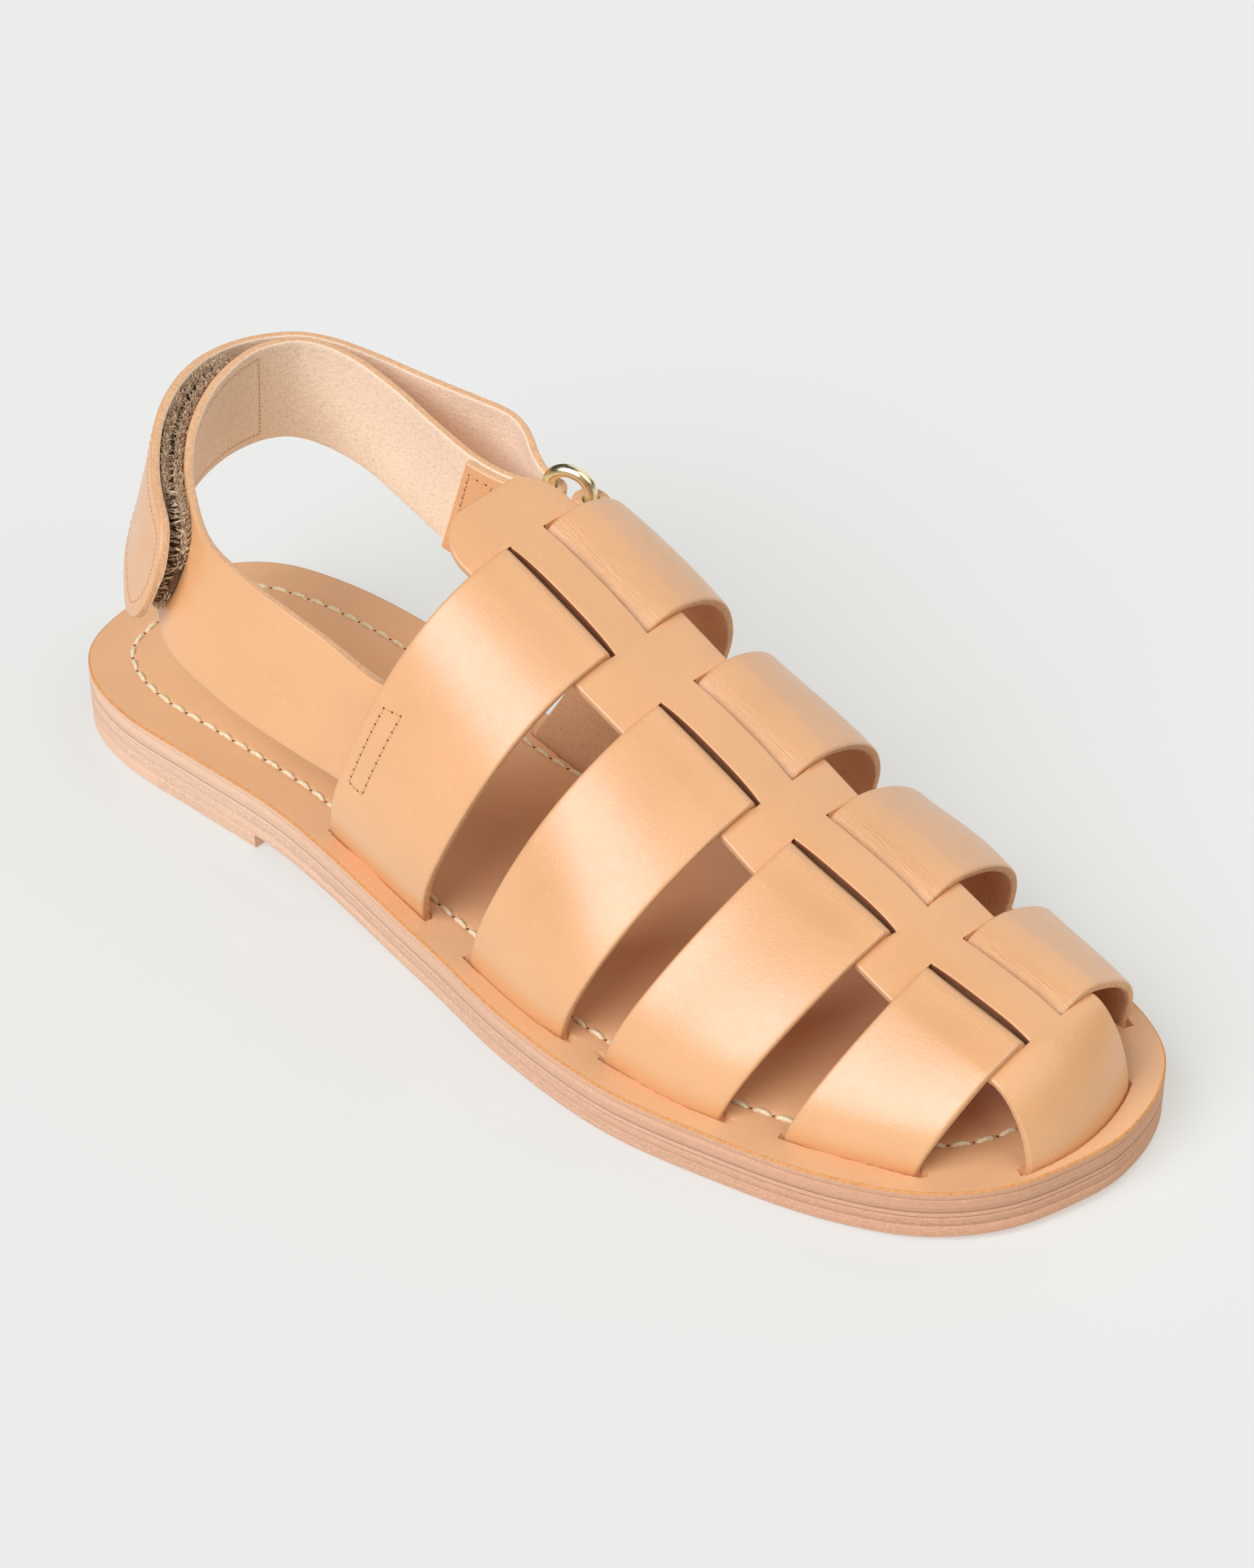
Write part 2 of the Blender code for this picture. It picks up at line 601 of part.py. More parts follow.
def build_ring(grid, normals, finish, collection):
    """Oval wire ring whose rear bar lies in the outer strip's fold."""
    bar, forward, outward, up = ring_place(grid, normals)
    centre = bar[1] + forward * RING_HALF_WIDTH + up * RING_LIFT
    turn = np.linspace(0.0, np.pi, RING_END_POINTS)
    wide = np.concatenate([np.cos(turn), -np.cos(turn)]) * RING_HALF_WIDTH
    tall = np.concatenate([RING_BAR + RING_END * np.sin(turn), -RING_BAR - RING_END * np.sin(turn)])
    path = centre + wide[:, None] * forward + tall[:, None] * up
    curve = bpy.data.curves.new("ring", "CURVE")
    curve.dimensions = "3D"
    curve.bevel_depth = RING_WIRE * MM
    curve.bevel_resolution = 2
    spline = curve.splines.new("POLY")
    spline.points.add(len(path) - 1)
    spline.points.foreach_set("co", np.column_stack([path * MM, np.ones(len(path))]).ravel())
    spline.use_cyclic_u = True
    ring = bpy.data.objects.new("ring", curve)
    collection.objects.link(ring)
    curve.materials.append(finish)
    return ring


def build_ring_tab(grid, normals, finish, collection):
    """Tab folded round the ring's front bar, both ends under the first strap's medial rear edge."""
    bar, forward, outward, up = ring_place(grid, normals)
    front_bar = bar + forward * (2.0 * RING_HALF_WIDTH)
    rear = STRAPS[0][0]
    layer = -LEATHER - TUCK_GAP - LEATHER / 2.0
    shifts = (TAB_TUCK, TAB_TUCK / 2.0, -TUCK_CLEAR)
    near = [tucked_line(rear + shift, 1.0, TAB_TOP, TAB_BOTTOM, layer) for shift in shifts]
    under = [tucked_line(rear + shift, 1.0, TAB_TOP, TAB_BOTTOM, layer - LEATHER - FIT_GAP) for shift in shifts]
    back = unit(front_bar[1] - near[-1][1])
    back = unit(back - (back @ up) * up)
    side = np.cross(up, back)
    side *= np.sign(side @ outward)
    turn = fold(front_bar, side, back, FOLD_RADIUS)
    rows = np.concatenate([np.array(near), turn, np.array(under[::-1])])
    return add_object("ring_tab", ribbon(rows, LEATHER), finish, collection)


def build_sole(finishes, collection, cutter_collection):
    """Outsole, midsole, slotted insole, heel lift and heel tip."""
    add_object("outsole", sole_layer(0.0, OUTSOLE_THICKNESS), finishes["sole"], collection)
    add_object("midsole", sole_layer(MIDSOLE_BASE, MIDSOLE_THICKNESS), finishes["sole"], collection)
    insole = add_object("insole", sole_layer(INSOLE_BASE, INSOLE_THICKNESS), finishes["leather"], collection)
    cut(insole, slot_cutters(cutter_collection))
    lift = sole_layer(0.0, HEEL_LIFT_THICKNESS, HEEL_TIP_FRONT + FIT_GAP, HEEL_BREAST, flat_floor=True)
    add_object("heel_lift", lift, finishes["sole"], collection)
    tip = sole_layer(0.0, HEEL_LIFT_THICKNESS, 0.0, HEEL_TIP_FRONT, flat_floor=True)
    add_object("heel_tip", tip, finishes["tip"], collection)


def centre_on_footprint(collections):
    """Shift every mesh so that the origin lies on the floor in the middle of the whole shoe."""
    bpy.context.view_layer.update()
    parts = collections[0].objects
    corners = np.array([thing.matrix_world @ Vector(c) for thing in parts for c in thing.bound_box])
    low, high = corners.min(axis=0), corners.max(axis=0)
    shift = Vector((-(low[0] + high[0]) / 2.0, -(low[1] + high[1]) / 2.0, 0.0))
    for group in collections:
        for thing in group.objects:
            thing.location = shift


def main():
    for thing in list(bpy.data.objects):
        bpy.data.objects.remove(thing, do_unlink=True)
    sandal = bpy.data.collections.new("caged_sandal")
    cutters = bpy.data.collections.new("cutters")
    for group in (sandal, cutters):
        bpy.context.scene.collection.children.link(group)
    finishes = {
        "leather": material("tan_leather", LEATHER_TAN, 0.5),
        "sole": material("sole_leather", SOLE_TAN, 0.7),
        "tip": material("heel_tip", TIP_TAN, 0.6),
        "pad": material("fastener_pad", PAD_BROWN, 0.95),
        "brass": material("polished_brass", BRASS, 0.18, 1.0),
    }
    build_sole(finishes, sandal, cutters)
    build_upper(finishes["leather"], sandal)
    grid, normals = build_heel_strap(finishes, sandal)
    build_ring(grid, normals, finishes["brass"], sandal)
    build_ring_tab(grid, normals, finishes["leather"], sandal)
    centre_on_footprint((sandal, cutters))


main()
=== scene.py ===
"""Caged leather sandal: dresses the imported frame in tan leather, thread, fastener pile and brass.

Sizes are millimetres in the shoe's own frame: x runs from the back of the heel to the toe, y towards the
medial side, z up from the floor. put_mesh moves a finished shape into the frame's own place, in metres.
"""

from functools import partial

import bpy
import numpy as np
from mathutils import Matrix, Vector


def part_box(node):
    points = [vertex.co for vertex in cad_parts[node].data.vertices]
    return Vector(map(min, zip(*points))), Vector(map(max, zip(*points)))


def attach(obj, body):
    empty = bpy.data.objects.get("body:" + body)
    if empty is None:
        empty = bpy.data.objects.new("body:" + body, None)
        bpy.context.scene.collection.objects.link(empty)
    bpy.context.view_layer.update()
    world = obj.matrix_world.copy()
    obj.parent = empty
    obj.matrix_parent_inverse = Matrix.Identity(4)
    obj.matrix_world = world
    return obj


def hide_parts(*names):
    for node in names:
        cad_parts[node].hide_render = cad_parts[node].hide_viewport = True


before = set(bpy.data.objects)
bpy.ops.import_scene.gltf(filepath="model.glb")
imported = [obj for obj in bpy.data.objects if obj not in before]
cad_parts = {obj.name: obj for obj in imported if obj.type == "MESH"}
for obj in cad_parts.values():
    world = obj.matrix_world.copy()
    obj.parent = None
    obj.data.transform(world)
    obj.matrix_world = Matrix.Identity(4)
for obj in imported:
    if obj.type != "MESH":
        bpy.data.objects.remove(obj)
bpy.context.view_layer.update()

bl_info = {
    "name": "Caged Leather Sandal",
    "version": (1, 0, 0),
    "blender": (4, 5, 0),
    "location": "View3D > Sidebar > Sandal",
    "description": "Leather, thread, fastener pile and brass for the caged sandal",
    "category": "Object",
}

MM = 0.001
BODY = "root"
UP = np.array([0.0, 0.0, 1.0])
FIT_GAP = 0.3
LAYER_SEAM = 0.04
LAYER_FILL = FIT_GAP - LAYER_SEAM
SHARP_ANGLE = np.radians(48.0)

# Small steps along and round the last that find its surface's direction
STEP_ALONG = 0.05
STEP_ROUND = 0.002

# Sole
SOLE_LENGTH = 262.0
OUTSOLE_THICKNESS = 4.6
MIDSOLE_THICKNESS = 4.0
INSOLE_THICKNESS = 1.8
HEEL_LIFT_THICKNESS = 3.0
HEEL_BREAST = 68.0
HEEL_TIP_FRONT = 38.0
WAIST_START = HEEL_BREAST + 2.0
WAIST_END = 122.0
TOE_SPRING = 2.0
TOE_SPRING_START = 212.0
MIDSOLE_BASE = OUTSOLE_THICKNESS + FIT_GAP
INSOLE_BASE = MIDSOLE_BASE + MIDSOLE_THICKNESS + FIT_GAP
FOOTBED = INSOLE_BASE + INSOLE_THICKNESS
SOLE_COLUMNS = ("along", "lateral", "medial", "stitch")
SOLE_OUTLINE = (
    (0.0, -2.5, -2.5, 9.0),
    (3.5, -20.5, 16.0, 9.3),
    (12.0, -29.6, 25.3, 9.6),
    (28.0, -35.2, 30.2, 9.7),
    (50.0, -36.3, 31.0, 9.8),
    (75.0, -37.4, 28.2, 9.6),
    (100.0, -40.9, 24.2, 9.4),
    (125.0, -45.9, 26.0, 9.6),
    (150.0, -51.8, 36.2, 10.2),
    (178.0, -54.7, 41.4, 10.8),
    (205.0, -51.2, 39.4, 10.8),
    (228.0, -45.4, 34.8, 12.2),
    (245.0, -36.8, 28.9, 13.4),
    (255.0, -25.4, 21.0, 13.8),
    (260.2, -12.0, 10.6, 14.0),
    (262.0, -2.0, -2.0, 14.0),
)
SOLE_TURNS = np.linspace(0.0, np.pi, 321)
CAP_COLUMNS = 14
CAP_INSET = 3.0
LOW_COLUMNS = 3
INSOLE_COLUMNS = 26
INSOLE_TOP_INSET = 5.0
INSOLE_RIM = 0.45
INSOLE_LOW_EDGE = ((0.0, 0.2), (0.15, 0.0), (1.5, 0.0))
STITCH_CHANNEL = 0.28
CHANNEL_HALF_WIDTH = 1.2
CHANNEL_POINTS = 7
SLOT_ZONE = np.arange(7.6, 0.7, -0.25)
SLOT_DEPTH = 1.5
SLOT_WALL = (0.95, 1.3)
SLOT_TOP = 0.1
SLOT_PARTS = 12
FOOT_POINTS = 60
PLY_LINE = 0.17
MIDSOLE_EDGE = 0.2
MIDSOLE_LINE = 0.3
OUTSOLE_EDGE = 0.3
OUTSOLE_LINE = 0.55
EDGE_SAMPLES = 400
RIM_POINTS = 6
LAYER_RIM_POINTS = 4
HEEL_EDGE = 0.35
HEEL_FIRST_TURN = 0.05
HEEL_ROWS = 60
HEEL_ACROSS = 16
HEEL_GRAIN_SLANT = 0.3

# Upper: one row for each end of a strap's slit, from the tongue to the toe
LEATHER = 2.0
SPINE_HALF_WIDTH = 15.5
BAND_HALF_WIDTH = 4.7
BAND_LIMIT = BAND_HALF_WIDTH + 0.01
CURL_BASE = 14.0
CURL_GROWTH = 1.1
TONGUE_TIP = 102.0
TONGUE_CORNER = 9.0
TOE_FRONT = 257.6
TOE_ROUNDING = 3.0
TOE_POWER = 1.7
TOE_SKIRT = 2.4
UPPER_COLUMNS = ("along", "height", "centre",
                 "lateral_back", "lateral_reach", "lateral_round", "lateral_curl",
                 "medial_back", "medial_reach", "medial_round", "medial_curl")
UPPER_SECTIONS = (
    (102.0, 84.6, -1.2, 23.9, -40.4, 3.00, 6.0, 16.5, 39.5, 3.20, 20.0),
    (113.5, 79.5, -1.3, 23.9, -41.0, 3.00, 6.2, 16.5, 40.3, 3.20, 21.0),
    (140.0, 67.1, -1.5, 20.7, -44.6, 2.47, 4.4, 15.3, 40.8, 3.00, 20.5),
    (152.7, 61.3, -1.8, 17.6, -46.4, 2.45, 2.4, 12.1, 39.8, 2.80, 9.5),
    (177.7, 51.1, -2.9, 13.9, -52.0, 2.00, 3.1, 11.3, 42.0, 2.35, 4.3),
    (187.4, 47.5, -3.6, 13.2, -52.0, 1.78, 3.3, 5.2, 42.2, 2.05, 4.1),
    (212.3, 39.8, -4.7, 10.8, -48.4, 1.85, 1.7, 4.8, 36.8, 2.35, 3.0),
    (222.0, 37.1, -5.4, 8.1, -45.6, 1.70, 2.5, 2.8, 35.6, 2.00, 3.8),
    (245.0, 32.0, -6.1, 6.1, -38.0, 1.85, 2.7, 2.0, 28.1, 2.20, 2.6),
)
STRAPS = ((113.5, 140.0), (152.7, 177.7), (187.4, 212.3), (222.0, 245.0))
SPINE_END = STRAPS[-1][1]
BAND_RISE = 0.9
BAND_BOW = 2.5
STRAP_RISE = 1.8
CLIMB_START = 4.7
CLIMB_LATERAL = 8.0
CLIMB_MEDIAL = 12.5
RIDGE_LATERAL = 0.2
RIDGE_MEDIAL = 0.0
RIDGE_WIDTH = 2.4
LAYER_GAP = 0.1
SLIT_WIDTH = 0.7
SLIT_OVERRUN = 0.4
SLIT_LIP = 0.3
SLIT_PRESS = 0.03
LENS_LATERAL = 0.3
LENS_MEDIAL = 0.0
LENS_BOW = 4.0
SPINE_STEP = 0.7
SPINE_START_GAP = 0.6
SPINE_END_GAP = 0.3
BAND_COLUMNS = 9
FLANK_COLUMNS = 20
CORNER_ROWS = 16
TOE_ROWS = 44
TOE_AHEAD = 0.004
TOE_BEHIND = 0.01
STRAP_SPACING = 0.8
STRAP_COLUMNS = 34
FOOT_DEPTH = 3.0
FOOT_ROWS = 4
PATH_STEPS = 1500
PATH_POWER = 2.2

# Where a strap bends, bellies out, creases and takes painted shade inside its slit: distances from the
# spine's middle, and strengths
WEAVE_MIDDLE = 6.5
WEAVE_WIDTH = 3.0
WEAVE_DENSITY = 2.4
BELLY_ZONE = (10.0, 18.0)
CREASE_START = (4.8, 6.0)
CREASE_END = (7.0, 12.0)
CREASE_LATERAL = 0.6
# Painted shade: the strap darkens inside its slit, under the band, between these distances
SLIT_SHADE_LATERAL = (5.2, 6.6)
SLIT_SHADE_MEDIAL = (4.7, 5.1)

# Strip of leather: points of a rounded edge, height of its core and share of the edge that belongs to a face
EDGE_POINTS = 5
EDGE_CORE = 0.12
EDGE_FACE = 0.6

# Heel strap: top outer edge of the inner strip, from the lateral side round the heel to the ring
HEEL_COLUMNS = ("along", "across", "height", "lean", "width", "spread", "rise")
HEEL_PATH = (
    (88.0, -33.6, 60.4, 0.22, 27.5, 7.0, 0.0),
    (67.3, -33.2, 64.1, 0.28, 27.5, 7.0, 0.0),
    (52.5, -31.0, 67.0, 0.30, 27.0, 7.0, -2.0),
    (44.5, -26.6, 69.6, 0.30, 26.0, 7.0, -1.5),
    (35.8, -19.6, 71.8, 0.28, 25.5, 7.0, -0.5),
    (27.0, -8.0, 75.6, 0.22, 24.5, 7.0, 0.0),
    (22.2, 5.5, 78.0, 0.15, 24.0, 7.0, -1.0),
    (22.0, 17.0, 78.6, 0.08, 24.0, 7.0, -2.7),
    (26.5, 25.3, 78.0, 0.03, 24.5, 7.0, -3.2),
    (35.0, 29.6, 75.8, 0.00, 25.0, 7.4, -3.3),
    (46.0, 31.2, 72.2, 0.00, 25.0, 9.0, -2.0),
    (58.8, 31.4, 67.4, 0.00, 25.0, 12.5, 0.5),
    (69.0, 32.0, 63.6, 0.00, 25.0, 14.0, 2.5),
    (77.0, 33.4, 61.9, 0.00, 24.0, 10.0, 2.0),
    (83.0, 35.2, 61.5, 0.00, 23.0, 3.3, 0.0),
)
HEEL_STATIONS = 46
STRIP_SPACING = 0.9
STRIP_COLUMNS = 22
END_STATIONS = 12
LATERAL_TUCK = 12.0
LATERAL_TUCK_TOP = 58.5
LATERAL_TUCK_BOTTOM = 31.5
TUCK_CLEAR = 2.0
TUCK_GAP = 0.5
TUCK_LAYER = -LEATHER - TUCK_GAP - LEATHER / 2.0
FREE_END_STATION = 17
FREE_END_CORNER = 7.0
FREE_END_ROUND = 10.5
PATCH_LENGTH = 22.0

# Fastener pads and their tufts
PAD_THICKNESS = 1.6
PAD_MARGIN = 1.6
PAD_CORNER = 9.0
PAD_SPACING = 0.8
PAD_COLUMNS = 12
PAD_EDGE = 0.3
HOOK_PAD_STATIONS = (16, 29)
LOOP_PAD_STATIONS = (18, 29)
HOOK_SEED = 3
LOOP_SEED = 5
TUFTS = 3600
TUFTS_ON_RIM = 0.6
TUFT_FOOT = 0.17
TUFT_BEND = 0.14
TUFT_ROOT = 0.1
TUFT_LEAN = 0.9
TUFT_CURL = 1.4
TUFT_SHORTEST = 0.5
TUFT_VARIES = 0.8
TUFT_LOWER = 0.6
TUFT_UPPER = 0.5
TUFT_SKEW = 0.3
TUFT_SECTION = ((1.0, 0.0), (-0.5, 0.87), (-0.5, -0.87))

# Ring and its tab
RING_WIRE = 1.4
RING_BAR = 11.2
RING_END = 4.2
RING_HALF_WIDTH = 4.8
RING_LIFT = 1.0
RING_SLACK = 0.5
RING_END_STEPS = 48
RING_WIRE_SIDES = 28
FOLD_POINTS = 7
FOLD_RADIUS = RING_WIRE + RING_SLACK + LEATHER / 2.0
TAB_TUCK = 10.0
TAB_TOP = 58.0
TAB_BOTTOM = 34.0
TAB_SPACING = 0.7

# Seams: corners as (share across, height) on a strap, and distances along or shares across on a strip
SEAM_EDGE = 0.5
SEAM_STEPS = 40
STRAP_SEAM_LATERAL = ((0.10, 55.5), (0.10, 36.0), (0.245, 35.0), (0.245, 55.5), (0.10, 55.5))
STRAP_SEAM_MEDIAL = ((0.11, 56.0), (0.11, 36.0), (0.20, 36.0), (0.20, 56.0), (0.11, 56.0))
PAD_SEAM = (0.09, 0.91)
BOX_SEAM = (0.1, 0.9)
PATCH_SEAM = (1.8, 8.3)
TAB_SEAM = (TAB_TUCK + 4.0, TAB_TUCK + 10.0)
FREE_SEAM_LENGTH = 45.0
FREE_SEAM_INSET = 7.0
FREE_SEAM_BULGE = 5.0
FREE_SEAM_EDGE = 0.12
FREE_SEAM_POINTS = 13
WELT_STITCH_SHARE = 0.84
WELT_THREAD = 0.48
WELT_HOLE = 0.3
WELT_LIFT = 0.05
STRAP_STITCH_SHARE = 0.72
STRAP_THREAD = 0.8
THREAD_SINK = 0.35
STRAP_THREAD_SINK = 0.75
HOLE_LIFT = 0.05
HOLE_LATERAL = 0.26
HOLE_BOX = 0.24
HOLE_PAD = 0.17
HOLE_FREE_END = 0.16
HOLE_SIDES = 9
STITCH_ROWS = 9
STITCH_SIDES = 8
STITCH_END = 0.02

# Stage; each light has the width of its disc in degrees, the way it shines and its tint
SENSOR = 36.0
FLOOR_REACH = 6.0
FLOOR_DROP = 0.0002
FLOOR_GLOW = 0.5
NEAR_LIGHT = (46.0, (0.03, 0.74, -0.67), (0.98, 1.0, 1.12))
FAR_LIGHT = (60.0, (0.15, -0.853, -0.5), (1.0, 1.0, 1.0))
FRONT_LIGHT = (60.0, (-0.60, -0.14, -0.79), (1.0, 1.0, 1.0))
FILL_TINT = (1.0, 0.995, 0.985, 1.0)

# The sole's side darkens towards the toe, over this stretch in the frame's metres
TOE_TINT = (0.84, 0.70, 0.62)
TOE_TINT_ZONE = (-0.06, 0.11)


def length_property(name, description, default):
    """A length in metres that a user may change."""
    return bpy.props.FloatProperty(name=name, description=description, default=default, unit="LENGTH",
                                   subtype="DISTANCE")


def colour_property(name, description, default):
    """A colour that a user may change."""
    return bpy.props.FloatVectorProperty(name=name, description=description, default=default, size=3,
                                         min=0.0, max=1.0, subtype="COLOR")


def place_property(name, description, default):
    """A place in the frame's metres that a user may change."""
    return bpy.props.FloatVectorProperty(name=name, description=description, default=default, size=3,
                                         subtype="TRANSLATION", unit="LENGTH")


def number_property(name, description, default):
    """A plain number that a user may change."""
    return bpy.props.FloatProperty(name=name, description=description, default=default)


class SandalSizes(bpy.types.PropertyGroup):
    """Sizes of the details that are added to the frame."""

    edge_round: length_property("Edge Rounding", "Radius on the leather's cut edges", 0.0005)
    strap_crown: length_property("Strap Crown", "How far a strap bellies out between its two edges", 0.0003)
    welt_stitch: length_property("Insole Stitch", "Distance from one insole stitch to the next", 0.0048)
    strap_stitch: length_property("Strap Stitch", "Distance from one strap stitch to the next", 0.0022)
    pile_height: length_property("Pile Height", "Length of the fastener's fuzz", 0.0015)


class SandalColours(bpy.types.PropertyGroup):
    """Colours of the sandal's finishes."""

    tan: colour_property("Tan Leather", "Grain side of the leather", (0.83, 0.43, 0.182))
    insole: colour_property("Insole", "Smooth top leather of the sole", (0.885, 0.495, 0.24))
    flesh: colour_property("Flesh Side", "Suede back of the heel strips and the tab", (0.93, 0.73, 0.52))
    # Painted shade: the spine's and cross straps' flesh side is a darker copy of the heel strips' flesh
    # colour, for the shade under the upper
    strap_flesh: colour_property(
        "Strap Flesh Side", "Browner suede back of the spine and the cross straps", (0.73, 0.42, 0.22))
    cut: colour_property("Cut Edge", "Raw cut edge of the leather", (0.80, 0.47, 0.25))
    # Painted shade: the slits' cut edges are a far darker copy of the cut-edge colour, for the shade inside
    # the slits
    slit: colour_property("Slit Edge", "Cut edge inside the spine's slits", (0.32, 0.115, 0.05))
    rim: colour_property("Insole Rim", "Burnished top edge of the insole", (0.74, 0.34, 0.12))
    sole: colour_property("Sole Edge", "Stacked leather of the sole's side", (0.80, 0.52, 0.35))
    thread: colour_property("Insole Thread", "Cream thread on the insole", (0.95, 0.81, 0.51))
    strap_thread: colour_property("Strap Thread", "Tan thread on the straps", (0.80, 0.42, 0.19))
    # Painted shade: the pad under the tufts is coloured dark for the shade deep in the pile
    pile: colour_property("Pile", "Fastener pile between the heel strips", (0.17, 0.10, 0.06))
    tuft: colour_property("Pile Tips", "Light tips of the fastener pile", (0.70, 0.50, 0.335))
    brass: colour_property("Brass", "Polished ring", (0.93, 0.83, 0.52))
    floor: colour_property("Floor", "Plain pale floor", (0.83, 0.835, 0.795))


class SandalStage(bpy.types.PropertyGroup):
    """Camera and light."""

    place: place_property(
        "Camera Place", "Where the camera stands, in the frame's metres", (0.4282, -0.4789, 0.5240))
    target: place_property(
        "Camera Target", "The point in the middle of the picture", (0.0071, 0.0040, 0.0310))
    lens: number_property("Lens", "Focal length in millimetres", 93.5)
    near: number_property("Near Light", "Strength of the wide soft light on the lateral side", 2.72)
    far: number_property("Far Light", "Strength of the low soft light on the medial side", 0.75)
    front: number_property("Front Light", "Strength of the high soft light in front of the toe", 1.06)
    fill: number_property("Fill Light", "Strength of the light from all round", 0.06)


def column(table, names, name):
    """One named column of a table as an array."""
    return np.array([row[names.index(name)] for row in table], dtype=float)


def smooth(x, knots, values):
    """Cubic Hermite curve through the knots, with tangents from the neighbouring knots."""
    values = np.asarray(values, dtype=float)
    slopes = np.gradient(values, knots, axis=0)
    x = np.clip(np.asarray(x, dtype=float), knots[0], knots[-1])
    i = np.clip(np.searchsorted(knots, x, side="right") - 1, 0, len(knots) - 2)
    span = knots[i + 1] - knots[i]
    t = (x - knots[i]) / span
    if values.ndim == 2:
        t, span = t[:, None], span[:, None]
    return ((2 * t**3 - 3 * t**2 + 1) * values[i] + (t**3 - 2 * t**2 + t) * span * slopes[i]
            + (3 * t**2 - 2 * t**3) * values[i + 1] + (t**3 - t**2) * span * slopes[i + 1])


def smooth_rows(stations, knots, rows):
    """Smooth curve through each column of rows of points, at stations along them."""
    return np.stack([smooth(stations, knots, rows[:, j]) for j in range(rows.shape[1])], axis=1)


def at_distance(place, distance, values):
    """Vectors of a line at places along it, straight between its points."""
    return np.stack([np.interp(place, distance, values[:, k]) for k in range(3)], axis=-1)


def ease(x, start, end):
    """Smooth step from 0 at start to 1 at end: 3t^2 - 2t^3."""
    t = np.clip((np.asarray(x, dtype=float) - start) / (end - start), 0.0, 1.0)
    return t * t * (3.0 - 2.0 * t)


def unit(vectors):
    """Vectors scaled to length one."""
    return vectors / np.maximum(np.linalg.norm(vectors, axis=-1, keepdims=True), 1e-12)


def lengths(points):
    """Distance along a line of points, from 0 at its first."""
    steps = np.linalg.norm(np.diff(points, axis=0), axis=-1)
    return np.concatenate([[0.0], np.cumsum(steps)])


def sole_rise(x):
    """Height of the outsole's underside: on the lift at the heel, flat at the ball, sprung at the toe."""
    heel = (HEEL_LIFT_THICKNESS + FIT_GAP) * (1.0 - ease(x, WAIST_START, WAIST_END))
    spring = np.clip((np.asarray(x) - TOE_SPRING_START) / (SOLE_LENGTH - TOE_SPRING_START), 0.0, None)
    return heel + TOE_SPRING * spring**2


def footbed(x):
    """Height of the insole's top face."""
    return sole_rise(x) + FOOTBED


def section(s):
    """The upper's section values at a station of the spine."""
    knots = column(UPPER_SECTIONS, UPPER_COLUMNS, "along")
    return {name: smooth(s, knots, column(UPPER_SECTIONS, UPPER_COLUMNS, name)) for name in UPPER_COLUMNS}


def sided(row, side, name):
    """A section value of the lateral side where side is negative, and of the medial side elsewhere."""
    return np.where(side < 0, row["lateral_" + name], row["medial_" + name])


def half_width(s, side):
    """Distance from the spine's middle to the foot of the section, on side -1 lateral or 1 medial."""
    row = section(s)
    return np.abs(sided(row, side, "reach") - row["centre"])


def arch(s, r, side, below=0.0):
    """Point of the last's surface: r from 0 on the spine's middle to 1 at the foot of the section.

    Across, the section is a superellipse |y|^p + |z|^p = 1 on a plane that slants back as it comes down.
    Near the foot it curls in, and it runs on straight down by the length below.
    """
    s, r, side, below = np.broadcast_arrays(*[np.asarray(v, dtype=float) for v in (s, r, side, below)])
    row = section(s)
    power, back, curl = (sided(row, side, name) for name in ("round", "back", "curl"))
    base = footbed(s - back)
    share = np.clip(1.0 - np.abs(r)**power, 0.0, None)**(1.0 / power)
    x = s - back * (1.0 - share)
    z = base + (row["height"] - base) * share
    tuck = curl * np.clip(1.0 - (z - base) / (CURL_BASE + CURL_GROWTH * curl), 0.0, None)**2
    y = row["centre"] + side * (half_width(s, side) * r - tuck)
    return np.stack([x, y, z - below], axis=-1)


def last_facing(s, r, side):
    """Unit normals of the last's surface, from small steps along and round it."""
    along = arch(s + STEP_ALONG, r, side) - arch(s - STEP_ALONG, r, side)
    across = arch(s, np.minimum(r + STEP_ROUND, 1.0), side) - arch(s, r - STEP_ROUND, side)
    return unit(np.cross(along, across) * side)


def toe_piece(turn, d):
    """Front of the spine: from the last strap's edge it turns down to the footbed at the toe.

    Seen from the side it is a quarter of a superellipse of the toe's power.
    """
    side = np.where(d < 0, -1.0, 1.0)
    start = arch(SPINE_END, np.abs(d) / half_width(SPINE_END, side), side)
    front = TOE_FRONT - TOE_ROUNDING * (d / SPINE_HALF_WIDTH)**2
    floor = footbed(front)
    grow = np.sin(turn * np.pi / 2.0)**(2.0 / TOE_POWER)
    fall = np.cos(turn * np.pi / 2.0)**(2.0 / TOE_POWER)
    x = start[..., 0] + (front - start[..., 0]) * grow
    z = floor + (start[..., 2] - floor) * fall
    return np.stack([x, start[..., 1], z], axis=-1)


def reach_at_height(s, side, height):
    """The arch's r at stations where its surface has the given heights."""
    row = section(s)
    power = sided(row, side, "round")
    base = footbed(s - sided(row, side, "back"))
    share = np.clip((height - base) / (row["height"] - base), 0.0, 1.0)
    return (1.0 - share**power)**(1.0 / power)


def grid_normals(points):
    """Unit normals of a grid of points from its row and column directions."""
    along = np.gradient(points, axis=0)
    across = np.gradient(points, axis=1)
    return unit(np.cross(along, across))


def sole_edge(turn):
    """Station, lateral edge, medial edge and stitch inset of the sole, at a turn from heel 0 to toe pi."""
    along = column(SOLE_OUTLINE, SOLE_COLUMNS, "along")
    knots = np.arccos(1.0 - 2.0 * along / SOLE_LENGTH)
    x = SOLE_LENGTH * (1.0 - np.cos(turn)) / 2.0
    edges = [smooth(turn, knots, column(SOLE_OUTLINE, SOLE_COLUMNS, name)) for name in SOLE_COLUMNS[1:]]
    return (x, *edges)


